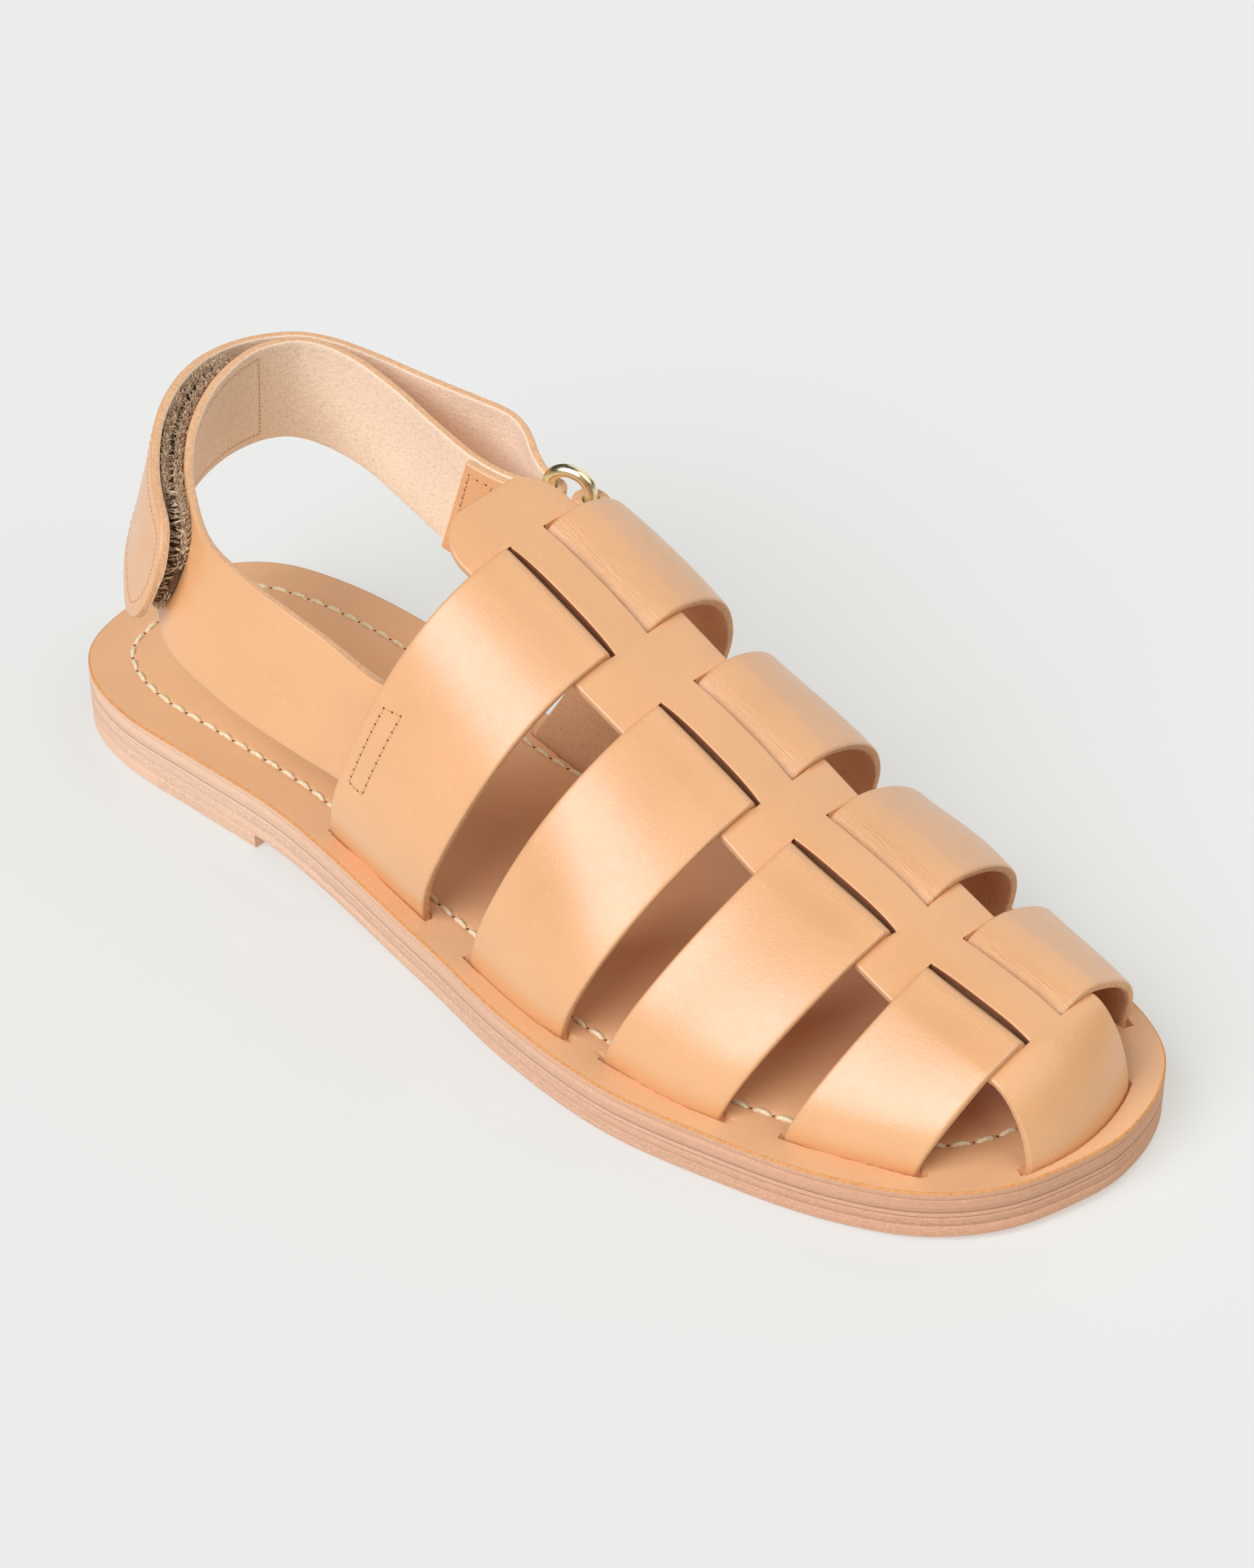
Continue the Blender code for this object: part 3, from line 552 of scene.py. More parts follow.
def frame_shift():
    """Move from the shoe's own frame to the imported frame, read from the outsole's box."""
    low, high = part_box("outsole")
    lateral = sole_edge(np.linspace(0.0, np.pi, EDGE_SAMPLES))[1]
    return np.array([(low.x + high.x) / 2.0 / MM - SOLE_LENGTH / 2.0, low.y / MM - lateral.min(), 0.0])


def put_mesh(name, points, faces, finishes, face_finish=None, node=None, slot=None, marks=None):
    """Object of a shape: points in the shoe's millimetres, faces as rows of indices, one finish a face."""
    place = (np.asarray(points, dtype=float).reshape(-1, 3) + frame_shift()) * MM
    mesh = bpy.data.meshes.new(name)
    mesh.from_pydata(place, [], [list(face) for face in faces])
    for finish in finishes:
        mesh.materials.append(finish)
    if face_finish is not None:
        mesh.polygons.foreach_set("material_index", np.asarray(face_finish, dtype=np.int32))
    for key, values in (marks or {}).items():
        attribute = mesh.attributes.new(key, "FLOAT_VECTOR", "POINT")
        attribute.data.foreach_set("vector", np.asarray(values, dtype=np.float32).ravel())
    mesh.validate()
    mesh.shade_smooth()
    mesh.set_sharp_from_angle(angle=SHARP_ANGLE)
    mesh.update()
    thing = bpy.data.objects.new(name, mesh)
    bpy.context.scene.collection.objects.link(thing)
    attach(thing, BODY)
    if node is not None:
        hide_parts(node)
    return thing


def grid_faces(rows, cols):
    """Quads of a grid of rows by columns, closed round the columns."""
    i = np.arange(rows - 1)[:, None]
    j = np.arange(cols)[None, :]
    k = (j + 1) % cols
    corners = (i * cols + j, (i + 1) * cols + j, (i + 1) * cols + k, i * cols + k)
    return np.stack(corners, axis=-1).reshape(-1, 4)


def tube_faces(rows, cols):
    """Faces of a closed profile carried along rows: its sides, then its first and last end zipped across."""
    i = np.arange(cols // 2 - 1)
    end = np.stack([i, i + 1, cols - 2 - i, cols - 1 - i], axis=-1)
    return np.concatenate([grid_faces(rows, cols), end, end[:, ::-1] + (rows - 1) * cols])


def outwards(points, faces, index, facing):
    """The faces, turned over together if the one at the index doesn't look along the facing direction."""
    corner = points.reshape(-1, 3)[faces[index]]
    looks = np.cross(corner[1] - corner[0], corner[2] - corner[0]) @ facing
    return faces if looks > 0.0 else faces[:, ::-1]


def rim_drop(gap, edge):
    """How far a face falls at a distance from a cut edge: a quarter circle of the edge radius."""
    t = np.clip(1.0 - gap / edge, 0.0, 1.0)
    return edge * (1.0 - np.sqrt(1.0 - t**2))


def sole_loop(turns):
    """Closed outline in plan, its inward normals and the stitch line's inset.

    It runs from the heel along the lateral side to the toe and back along the medial side.
    """
    x, lateral, medial, stitch = sole_edge(turns)
    there = np.stack([x, lateral], axis=-1)
    back = np.stack([x, medial], axis=-1)[-2:0:-1]
    loop = np.concatenate([there, back])
    tangent = unit(np.roll(loop, -1, axis=0) - np.roll(loop, 1, axis=0))
    inward = np.stack([-tangent[:, 1], tangent[:, 0]], axis=-1)
    return loop, inward, np.concatenate([stitch, stitch[-2:0:-1]])


def cap_faces(first, count, cols, extra):
    """Faces across a closed ring of 2 count - 2 points: rows from its lateral to its medial half."""
    stations = np.arange(1, count - 1)
    lateral = first + stations
    medial = first + 2 * count - 2 - stations
    inner = extra + np.arange(len(stations))[:, None] * cols + np.arange(cols)[None, :]
    rows = np.concatenate([lateral[:, None], inner, medial[:, None]], axis=1)
    quads = np.stack([rows[:-1, :-1], rows[1:, :-1], rows[1:, 1:], rows[:-1, 1:]], axis=-1).reshape(-1, 4)
    heel = np.stack([np.full(cols + 1, first), rows[0, :-1], rows[0, 1:]], axis=-1)
    toe = np.stack([rows[-1, 1:], rows[-1, :-1], np.full(cols + 1, first + count - 1)], axis=-1)
    return quads, np.concatenate([heel, toe])


def cap_points(ring, count, cols):
    """Points between the lateral and the medial half of a ring, spaced evenly across."""
    stations = np.arange(1, count - 1)
    share = (np.arange(cols) + 1.0) / (cols + 1.0)
    lateral = ring[stations][:, None]
    medial = ring[2 * count - 2 - stations][:, None]
    return lateral + (medial - lateral) * share[None, :, None]


def sole_piece(name, profile, walls, finishes, node, slot, top_columns=CAP_COLUMNS, relief=None):
    """Layer of the sole from a profile of rings, from its top down its side to its underside.

    Each ring is (follow, inset, height): the sole's outline moved in by the inset, and by the stitch line's
    own inset too where follow is 1. The first and last ring are closed by lines across from the lateral to
    the medial half. The list walls picks a finish for each step of the profile, and the function relief
    lowers the points. The mark run holds the distance round the sole and the height in the layer.
    """
    loop, inward, stitch = sole_loop(SOLE_TURNS)
    count, size = len(SOLE_TURNS), len(loop)
    follow, inset, height = np.array(profile).T
    plan = loop + inward * (follow[:, None] * stitch + inset[:, None])[..., None]
    rings = np.concatenate([plan, (sole_rise(plan[..., 0]) + height[:, None])[..., None]], axis=-1)
    top = cap_points(rings[0], count, top_columns)
    low = cap_points(rings[-1], count, LOW_COLUMNS)
    top[..., 2] = sole_rise(top[..., 0]) + height[0]
    low[..., 2] = sole_rise(low[..., 0]) + height[-1]
    side = grid_faces(len(profile), size)
    extra = len(profile) * size
    top_quads, top_ends = cap_faces(0, count, top_columns, extra)
    low_quads, low_ends = cap_faces(extra - size, count, LOW_COLUMNS, extra + top[..., 0].size)
    points = np.concatenate([part.reshape(-1, 3) for part in (rings, top, low)])
    if relief is not None:
        points[:, 2] -= relief(points)
    faces = [*side, *top_quads, *top_ends, *low_quads[:, ::-1], *low_ends[:, ::-1]]
    face_finish = np.concatenate([np.repeat(walls, size), np.zeros(len(faces) - len(side), dtype=int)])
    run = np.zeros((len(points), 3))
    run[:extra, 0] = np.tile(lengths(loop), len(profile))
    run[:extra, 1] = np.repeat(height, size)
    run[extra:, :2] = points[extra:, :2]
    return put_mesh(name, points, faces, finishes, face_finish, node, slot, {"run": run})


def strip_profile(columns, thickness, edge):
    """Closed profile of a strip with rounded cut edges, its lower half the mirror of its upper half.

    Each point is at the distance a + b * width from the strip's first edge and at a height above its middle.
    Quarter circles of the edge radius join the faces to the cut edges. Finish 0 is the upper face, 1 the
    lower face and 2 the cut edges.
    """
    half = thickness / 2.0
    turn = np.linspace(0.0, np.pi / 2.0, EDGE_POINTS)
    inset = edge * (1.0 - np.sin(turn))[::-1]
    height = (half - edge * (1.0 - np.cos(turn)))[::-1]
    core = [EDGE_CORE * half]
    share = np.linspace(0.0, 1.0, columns)[1:-1]
    a = np.concatenate([[0.0], inset, edge * (1.0 - 2.0 * share), -inset[::-1], [0.0]])
    b = np.concatenate([np.zeros(len(inset) + 1), share, np.ones(len(inset) + 1)])
    h = np.concatenate([core, height, np.full(len(share), half), height[::-1], core])
    a, b, h = (np.concatenate([v, w * v[::-1]]) for v, w in ((a, 1.0), (b, 1.0), (h, -1.0)))
    flat = half - EDGE_FACE * edge
    level = (h + np.roll(h, -1)) / 2.0
    finish = np.where(level > flat, 0, np.where(level < -flat, 1, 2))
    return a, b, h, finish


def strip_piece(name, surface, stations, widths, columns, edge, finishes, node, slot,
                round_first=False, round_last=False, bend=None):
    """Strip of leather: a rounded profile carried along a path.

    surface(share) gives the middle points and normals at each station for shares across the width. Towards
    an end that is rounded the profile's height falls as a quarter circle. The function bend, where given,
    makes the mark of the same name from the shares. The mark lay holds the distance along, the distance
    across and the distance from the nearer long edge.
    """
    a, b, h, finish = strip_profile(columns, LEATHER, edge)
    share = b[None, :] + a[None, :] / widths[:, None]
    points, normals = surface(share)
    squeeze = np.ones(len(stations))
    for gap, rounded in ((stations - stations[0], round_first), (stations[-1] - stations, round_last)):
        if rounded:
            squeeze = np.minimum(squeeze, 1.0 - rim_drop(gap, edge) / (LEATHER / 2.0))
    points = points + normals * (h[None, :] * squeeze[:, None])[..., None]
    rows, cols = points.shape[:2]
    middle = rows // 2
    faces = outwards(points, tube_faces(rows, cols), middle * cols + cols // 4, normals[middle, cols // 4])
    sides = np.tile(finish, rows - 1)
    face_finish = np.concatenate([sides, np.full(len(faces) - len(sides), 2)])
    across = share * widths[:, None]
    rim = np.minimum(across, widths[:, None] - across)
    marks = {"lay": np.stack([np.repeat(stations[:, None], cols, axis=1), across, rim], axis=-1)}
    if bend is not None:
        # The bend mark holds the strength of the creases and of the painted shade inside the slits
        marks["bend"] = bend(share)
    return put_mesh(name, points, faces, finishes, face_finish, node, slot, marks)


def wall_piece(name, points, normals, outer, inner, cells, finishes, lay, node, slot):
    """Closed wall over the marked cells of a grid, between an outer and an inner offset along the normals.

    The outer skin, the inner skin, the outer edges and the edges of holes take the four finishes in turn.
    """
    rows, cols = points.shape[:2]
    skins = np.stack([points + normals * offset[..., None] for offset in (outer, inner)]).reshape(-1, 3)
    index = np.arange(rows * cols).reshape(rows, cols)
    ring = np.stack([index[:-1, :-1], index[1:, :-1], index[1:, 1:], index[:-1, 1:]], axis=-1)
    under = rows * cols
    padded, inside = np.pad(cells, 1), np.pad(np.ones(cells.shape, dtype=bool), 1)
    beside = ((slice(1, -1), slice(None, -2)), (slice(2, None), slice(1, -1)),
              (slice(1, -1), slice(2, None)), (slice(None, -2), slice(1, -1)))
    edges, in_hole = [], []
    for k, window in enumerate(beside):
        rim = cells & ~padded[window]
        start, end = ring[rim][:, k], ring[rim][:, (k + 1) % 4]
        edges.append(np.stack([end, start, start + under, end + under], axis=-1))
        in_hole.append(inside[window][rim])
    in_hole = np.concatenate(in_hole)
    top = ring[cells]
    bottom = top[:, ::-1] + under
    middle = len(top) // 2
    faces = np.concatenate([top, bottom, *edges])
    faces = outwards(skins, faces, middle, normals.reshape(-1, 3)[top[middle, 0]])
    face_finish = np.concatenate([np.repeat([0, 1], [len(top), len(bottom)]), np.where(in_hole, 3, 2)])
    used, faces_used = np.unique(faces, return_inverse=True)
    marks = np.concatenate([lay.reshape(-1, 3)] * 2)[used]
    return put_mesh(name, skins[used], faces_used.reshape(faces.shape), finishes, face_finish, node, slot,
                    {"lay": marks})


def tucked_line(s, side, top, bottom, offset):
    """Line down a strap's inner face between two heights, at an offset from its outer face."""
    ends = reach_at_height(s, side, np.array([top, bottom]))
    reach = np.linspace(ends[0], ends[1], 3)
    return arch(s, reach, side) + last_facing(s, reach, side) * offset


def resample(rows, count):
    """Smooth grid of count stations through rows of points, spaced by the distance along the middle."""
    knots = lengths(rows[:, rows.shape[1] // 2])
    stations = np.linspace(0.0, knots[-1], count)
    return smooth_rows(stations, knots, rows), stations, knots


def heel_rows():
    """Middle-surface lines across the inner heel strip at each row of its path."""
    get = {name: column(HEEL_PATH, HEEL_COLUMNS, name) for name in HEEL_COLUMNS}
    top = np.stack([get["along"], get["across"], get["height"]], axis=-1)
    tangent = unit(np.gradient(top, axis=0))
    outward = unit(np.cross(tangent, UP))
    outward *= np.sign(((top - top.mean(axis=0)) * outward).sum(axis=-1).mean())
    down = get["lean"][:, None] * outward - UP
    down = unit(down - (down * tangent).sum(axis=-1, keepdims=True) * tangent)
    share = np.array([0.0, 0.5, 1.0])
    lines = top[:, None] + down[:, None] * (get["width"][:, None, None] * share[None, :, None])
    return lines - outward[:, None] * (LEATHER / 2.0), get


def heel_grid():
    """Middle surface of the inner strip from under the first strap round to the ring.

    Its normals point outwards; the spread and the rise say where the outer strip runs beside it.
    """
    lines, get = heel_rows()
    rear = STRAPS[0][0]
    tucked = [tucked_line(rear + shift, -1.0, LATERAL_TUCK_TOP, LATERAL_TUCK_BOTTOM, TUCK_LAYER)
              for shift in (LATERAL_TUCK, LATERAL_TUCK / 2.0, -TUCK_CLEAR)]
    rows = np.concatenate([np.array(tucked), lines])
    grid, stations, knots = resample(rows, HEEL_STATIONS)
    still = np.full(len(tucked), get["spread"][0])
    spread = smooth(stations, knots, np.concatenate([still, get["spread"]]))
    rise = smooth(stations, knots, np.concatenate([np.zeros(len(tucked)), get["rise"]]))
    normals = grid_normals(grid)
    middle = grid[:, 1] - grid[:, 1].mean(axis=0)
    normals *= np.sign((middle * normals[:, 1]).sum(axis=-1).mean())
    return grid, normals, spread, rise


def fold(centre, start, forward, radius):
    """Half turn of a strip round a bar: centre lines, start direction and forward direction."""
    angles = np.linspace(0.0, np.pi, FOLD_POINTS)[:, None]
    way = np.cos(angles) * start + np.sin(angles) * forward
    return centre + radius * way[:, None]


def ring_place(grid, normals):
    """Rear bar of the ring at the inner strip's end, with the ring's forward, outward and up directions."""
    forward = unit(grid[-1, 1] - grid[-2, 1])
    up = unit(grid[-1, 0] - grid[-1, 2])
    forward = unit(forward - (forward @ up) * up)
    outward = normals[-1, 1]
    outward = unit(outward - (outward @ up) * up - (outward @ forward) * forward)
    clearance = RING_WIRE + 2.0 * RING_SLACK
    bar = grid[-1] + forward * clearance + outward * (FOLD_RADIUS - LEATHER - FIT_GAP)
    return bar, forward, outward, up


def outer_run(grid, normals, spread, rise):
    """Middle surface of the outer strip round the heel: the inner one moved out and up."""
    run = grid + normals * spread[:, None, None]
    run[..., 2] += rise[:, None]
    return run


def outer_rows(grid, normals, spread, rise):
    """Middle lines of the outer strip: sewn patch, fold round the ring, run back round the heel."""
    bar, forward, outward = ring_place(grid, normals)[:3]
    distance = lengths(grid[::-1, 1])[1:]
    patch_count = int(np.searchsorted(distance, PATCH_LENGTH)) + 1
    patch = (grid - normals * (LEATHER + FIT_GAP))[-patch_count:-1]
    turn = fold(bar, -outward, forward, FOLD_RADIUS)
    back = outer_run(grid, normals, spread, rise)[FREE_END_STATION:-1][::-1]
    end = back[-1] + unit(back[-1, 1] - back[-2, 1]) * FREE_END_CORNER
    return np.concatenate([patch, turn, back, end[None]])


def tab_rows(grid, normals):
    """Middle lines of the tab folded round the ring's front bar, both ends under the first strap."""
    bar, forward, outward, up = ring_place(grid, normals)
    front_bar = bar + forward * (2.0 * RING_HALF_WIDTH)
    stations = STRAPS[0][0] + np.array([TAB_TUCK, TAB_TUCK / 2.0, -TUCK_CLEAR])
    near, under = (np.array([tucked_line(s, 1.0, TAB_TOP, TAB_BOTTOM, layer) for s in stations])
                   for layer in (TUCK_LAYER, TUCK_LAYER - LEATHER - FIT_GAP))
    back = unit(front_bar[1] - near[-1, 1])
    back = unit(back - (back @ up) * up)
    side = np.cross(up, back)
    side *= np.sign(side @ outward)
    turn = fold(front_bar, side, back, FOLD_RADIUS)
    return np.concatenate([near, turn, under[::-1]])


def ruled(lines, normals):
    """Surface of a strip through top, middle and bottom lines: a parabola across at each station."""
    def surface(share):
        q = share[..., None]
        weights = ((1 - q) * (1 - 2 * q), 4 * q * (1 - q), q * (2 * q - 1))
        points, facing = (sum(weight * rows[:, None, k] for k, weight in enumerate(weights))
                          for rows in (lines, normals))
        return points, unit(facing)
    return surface


def strip_widths(lines):
    """Width of a strip at each station, from its top to its bottom line."""
    return np.linalg.norm(lines[:, 0] - lines[:, 2], axis=-1)


def corner_end(lines, stations, corner):
    """Draws in the last stations of a strip so that its end has two rounded corners.

    Within the corner radius of the end each half of the width loses a quarter circle of that radius.
    """
    keep = 1.0 - rim_drop(stations[-1] - stations, corner) / (strip_widths(lines) / 2.0)
    middle = lines[:, 1:2]
    return middle + (lines - middle) * keep[:, None, None]


def fine_stations(total, spacing, first=0.0, last=0.0):
    """Distances along a strip, close together at the ends that are rounded."""
    inner = np.linspace(first, total - last, int((total - first - last) / spacing))
    close = 1.0 - np.cos(np.linspace(0.0, np.pi / 2.0, END_STATIONS))
    parts = [inner]
    if first > 0.0:
        parts.insert(0, first * close[:-1])
    if last > 0.0:
        parts.append((total - last * close[::-1])[1:])
    return np.concatenate(parts)


def strip_lines(rows, spacing, first=0.0, last=0.0):
    """Fine lines, stations and normals of a strip through rows of top, middle and bottom points."""
    knots = lengths(rows[:, 1])
    stations = fine_stations(knots[-1], spacing, first, last)
    lines = smooth_rows(stations, knots, rows)
    along = np.gradient(lines, stations, axis=0)
    across = np.gradient(lines, axis=1)
    return lines, stations, unit(np.cross(along, across))


def stitches(path, facing, pitch, length, radius, sink=THREAD_SINK):
    """Thread stitches along a path: each is a capsule that bows up from the surface at its middle.

    Along its length a the radius falls as (1 - a^6)^(1/2) and the height as 1 - a^2.
    """
    distance = lengths(path)
    count = max(int(round(distance[-1] / pitch)), 1)
    middle = (np.arange(count) + 0.5) * distance[-1] / count
    a = np.linspace(-1.0, 1.0, STITCH_ROWS)
    place = middle[:, None] + a[None, :] * length / 2.0
    axis = at_distance(place, distance, path)
    up = unit(at_distance(place, distance, facing))
    side = np.cross(unit(np.gradient(axis, axis=1)), up)
    axis = axis + up * (radius * (1.0 - a**2) - radius * sink)[None, :, None]
    turn = np.linspace(0.0, 2.0 * np.pi, STITCH_SIDES, endpoint=False)
    size = radius * np.sqrt(np.clip(1.0 - a**6, STITCH_END, 1.0))
    ring = np.cos(turn)[:, None] * side[:, :, None] + np.sin(turn)[:, None] * up[:, :, None]
    points = axis[:, :, None] + ring * size[None, :, None, None]
    block = STITCH_ROWS * STITCH_SIDES
    starts = np.arange(count)[:, None, None] * block
    around = np.arange(STITCH_SIDES)
    ends = np.stack([around, block - 1 - around])
    quads = (grid_faces(STITCH_ROWS, STITCH_SIDES) + starts).reshape(-1, 4)
    return points.reshape(-1, 3), [*quads, *(ends + starts).reshape(-1, STITCH_SIDES)]


def holes(path, facing, pitch, radius):
    """Painted shade of the needle holes between stitches: small dark flat discs just above the surface."""
    distance = lengths(path)
    count = max(int(round(distance[-1] / pitch)), 1)
    place = np.arange(count + 1) * distance[-1] / count
    middle = at_distance(place, distance, path)
    up = unit(at_distance(place, distance, facing))
    along = unit(np.gradient(middle, axis=0))
    side = np.cross(along, up)
    turn = np.linspace(0.0, 2.0 * np.pi, HOLE_SIDES, endpoint=False)
    ring = np.cos(turn)[:, None] * side[:, None] + np.sin(turn)[:, None] * along[:, None]
    points = middle[:, None] + up[:, None] * HOLE_LIFT + ring * radius
    faces = np.arange(len(points) * HOLE_SIDES).reshape(-1, HOLE_SIDES)
    return points.reshape(-1, 3), [*faces]


def join(parts):
    """Points and faces of several shapes as one."""
    points, faces, start = [], [], 0
    for places, rings in parts:
        points.append(places)
        faces += [np.asarray(ring) + start for ring in rings]
        start += len(places)
    return np.concatenate(points), faces


def plug(tree, made, **links):
    """A shader node's inputs linked to sockets or set to values; i2 means the input with number 2."""
    for key, value in links.items():
        numbered = key[0] == "i" and key[1:].isdigit()
        socket = made.inputs[int(key[1:]) if numbered else key.replace("_", " ")]
        if isinstance(value, bpy.types.NodeSocket):
            tree.links.new(value, socket)
        else:
            socket.default_value = value


def node(tree, kind, settings=None, **links):
    """New shader node with its settings and its inputs."""
    made = tree.nodes.new(kind)
    for key, value in (settings or {}).items():
        setattr(made, key, value)
    plug(tree, made, **links)
    return made


def ramp(tree, fac, *stops):
    """Colour ramp through (position, colour) stops."""
    made = node(tree, "ShaderNodeValToRGB", Fac=fac)
    points = made.color_ramp.elements
    while len(points) < len(stops):
        points.new(0.5)
    for point, (position, colour) in zip(points, stops):
        point.position = position
        point.color = (*colour, 1.0)
    return made.outputs["Color"]


def mix(tree, fac, first, second, blend="MIX"):
    """Mix of two colours, each a socket or three values."""
    first, second = (c if isinstance(c, bpy.types.NodeSocket) else (*c, 1.0) for c in (first, second))
    settings = {"data_type": "RGBA", "blend_type": blend}
    return node(tree, "ShaderNodeMix", settings, i0=fac, i6=first, i7=second).outputs[2]


def remap(tree, value, low, high, new_low, new_high):
    """Value carried from one range to another and clamped."""
    made = node(tree, "ShaderNodeMapRange", Value=value, i1=low, i2=high, i3=new_low, i4=new_high)
    return made.outputs[0]


def noise(tree, place, scale, detail=3.0, roughness=0.55):
    """Noise of a scale in repeats per metre of its place."""
    made = node(tree, "ShaderNodeTexNoise", Vector=place, Scale=scale, Detail=detail, Roughness=roughness)
    return made.outputs["Fac"]


def cells(tree, place, scale):
    """Distance to the nearest cell of a random pattern."""
    made = node(tree, "ShaderNodeTexVoronoi", {"feature": "F1"}, Vector=place, Scale=scale)
    return made.outputs["Distance"]


def stretch(tree, place, scale, turn=(0.0, 0.0, 0.0)):
    """Place with each axis stretched by a factor."""
    return node(tree, "ShaderNodeMapping", Vector=place, Scale=scale, Rotation=turn).outputs["Vector"]


def bump(tree, height, distance, strength, **under):
    """Bump of a height in metres, over a lower bump given as Normal."""
    made = node(tree, "ShaderNodeBump", Height=height, Distance=distance, Strength=strength, **under)
    return made.outputs["Normal"]


def shade(colour, factor):
    """Colour made darker or lighter by a factor."""
    return tuple(min(c * factor, 1.0) for c in colour)


def new_finish(name):
    """New material with its node tree, shader and Object coordinates."""
    finish = bpy.data.materials.new(name)
    finish.use_nodes = True
    tree = finish.node_tree
    shader = tree.nodes["Principled BSDF"]
    place = node(tree, "ShaderNodeTexCoord").outputs["Object"]
    return finish, tree, shader, place


def mark(tree, name):
    """The three values of a piece's own mark."""
    made = node(tree, "ShaderNodeAttribute", {"attribute_name": name})
    parts = node(tree, "ShaderNodeSeparateXYZ", Vector=made.outputs["Vector"])
    return made.outputs["Vector"], parts.outputs


def grain_leather(name, colour, gloss, wax):
    """Smooth vegetable-tanned grain under a thin wax.

    It is cloudy tan with fine pores, pale scuffs and darker rims. Where a strap bends it has pale creases,
    and inside a slit it has painted shade, dark where the band shades it.
    """
    finish, tree, shader, place = new_finish(name)
    clouds = noise(tree, place, 42.0, 4.0, 0.6)
    base = ramp(tree, clouds, (0.30, shade(colour, 0.95)), (0.52, colour), (0.75, shade(colour, 1.04)))
    pores = noise(tree, place, 2100.0, 2.0, 0.6)
    base = mix(tree, remap(tree, pores, 0.58, 0.75, 0.0, 0.16), base, shade(colour, 0.70))
    scuffs = noise(tree, stretch(tree, place, (1.0, 1.0, 1.0), (0.3, 0.2, 0.9)), 640.0, 2.0, 0.5)
    base = mix(tree, remap(tree, scuffs, 0.66, 0.76, 0.0, 0.30), base, shade(colour, 1.25))
    lay, (_, _, rim) = mark(tree, "lay")
    base = mix(tree, remap(tree, rim, 0.0, 1.2, 0.10, 0.0), base, shade(colour, 0.62))
    # Painted shade: the strap goes dark inside its slit, where the band shades it
    strength, dark, _ = mark(tree, "bend")[1]
    base = mix(tree, remap(tree, dark, 0.0, 1.0, 0.0, 0.85), base, shade(colour, 0.16))
    creases = noise(tree, stretch(tree, lay, (2.4, 0.15, 0.0), (0.0, 0.0, 0.10)), 1.0, 3.0, 0.65)
    creases = node(tree, "ShaderNodeMath", {"operation": "MULTIPLY"}, i0=creases, i1=strength).outputs[0]
    base = mix(tree, remap(tree, creases, 0.52, 0.70, 0.0, 0.5), base, shade(colour, 1.3))
    rough = remap(tree, noise(tree, place, 420.0, 3.0, 0.6), 0.3, 0.7, gloss - 0.04, gloss + 0.07)
    wrinkle = noise(tree, stretch(tree, place, (1.0, 0.35, 1.0), (0.0, 0.0, 0.5)), 900.0, 4.0, 0.65)
    relief = bump(tree, cells(tree, place, 1900.0), 0.0001, 0.45)
    relief = bump(tree, wrinkle, 0.00016, 0.25, Normal=relief)
    relief = bump(tree, creases, 0.0006, 0.8, Normal=relief)
    plug(tree, shader, Base_Color=base, Roughness=rough, Normal=relief, Specular_IOR_Level=0.6,
         Coat_Weight=wax, Coat_Roughness=0.32)
    return finish


def flesh_leather(name, colour):
    """Suede back: matt beige with brown and pale specks and a short nap."""
    finish, tree, shader, place = new_finish(name)
    nap = noise(tree, place, 1250.0, 3.0, 0.7)
    base = ramp(tree, nap, (0.33, shade(colour, 0.86)), (0.5, colour), (0.68, shade(colour, 1.05)))
    patches = remap(tree, noise(tree, place, 120.0, 3.0), 0.35, 0.7, 0.0, 0.2)
    base = mix(tree, patches, base, shade(colour, 0.92))
    plug(tree, shader, Base_Color=base, Normal=bump(tree, nap, 0.00035, 0.7), Roughness=0.92,
         Specular_IOR_Level=0.15, Sheen_Weight=0.25, Sheen_Roughness=0.5)
    return finish


def cut_leather(name, colour):
    """Raw cut edge: compressed fibres, some darker and some paler."""
    finish, tree, shader, place = new_finish(name)
    fibre = noise(tree, place, 1300.0, 4.0, 0.7)
    base = ramp(tree, fibre, (0.32, shade(colour, 0.80)), (0.5, colour), (0.7, shade(colour, 1.15)))
    plug(tree, shader, Base_Color=base, Normal=bump(tree, fibre, 0.0002, 0.5), Roughness=0.7,
         Specular_IOR_Level=0.25)
    return finish


def stacked_leather(name, colour, speck):
    """Side of the stacked sole, darker towards the toe.

    It has felted fibre specks, short brown dashes round it and faint layers, all stronger with speck.
    """
    finish, tree, shader, place = new_finish(name)
    run = mark(tree, "run")[0]
    fibre = noise(tree, place, 1500.0, 3.0, 0.75)
    dashes = noise(tree, stretch(tree, run, (0.5, 3.6, 0.0)), 1.0, 2.0, 0.6)
    bands = noise(tree, stretch(tree, run, (0.012, 1.7, 0.0)), 1.0, 2.0, 0.5)
    base = ramp(tree, bands, (0.35, shade(colour, 1.0 - 0.10 * speck)),
                (0.62, shade(colour, 1.0 + 0.06 * speck)))
    base = mix(tree, remap(tree, fibre, 0.50, 0.66, 0.0, 0.55 * speck), base, shade(colour, 1.35))
    base = mix(tree, remap(tree, dashes, 0.54, 0.66, 0.0, 0.32 * speck), base, shade(colour, 0.58))
    along = node(tree, "ShaderNodeSeparateXYZ", Vector=place).outputs[0]
    base = mix(tree, remap(tree, along, *TOE_TINT_ZONE, 0.0, 1.0), base, TOE_TINT, "MULTIPLY")
    relief = bump(tree, fibre, 0.00025, 0.5 * speck)
    relief = bump(tree, dashes, 0.0002, 0.3 * speck, Normal=relief)
    plug(tree, shader, Base_Color=base, Normal=relief, Roughness=0.7, Specular_IOR_Level=0.3)
    return finish


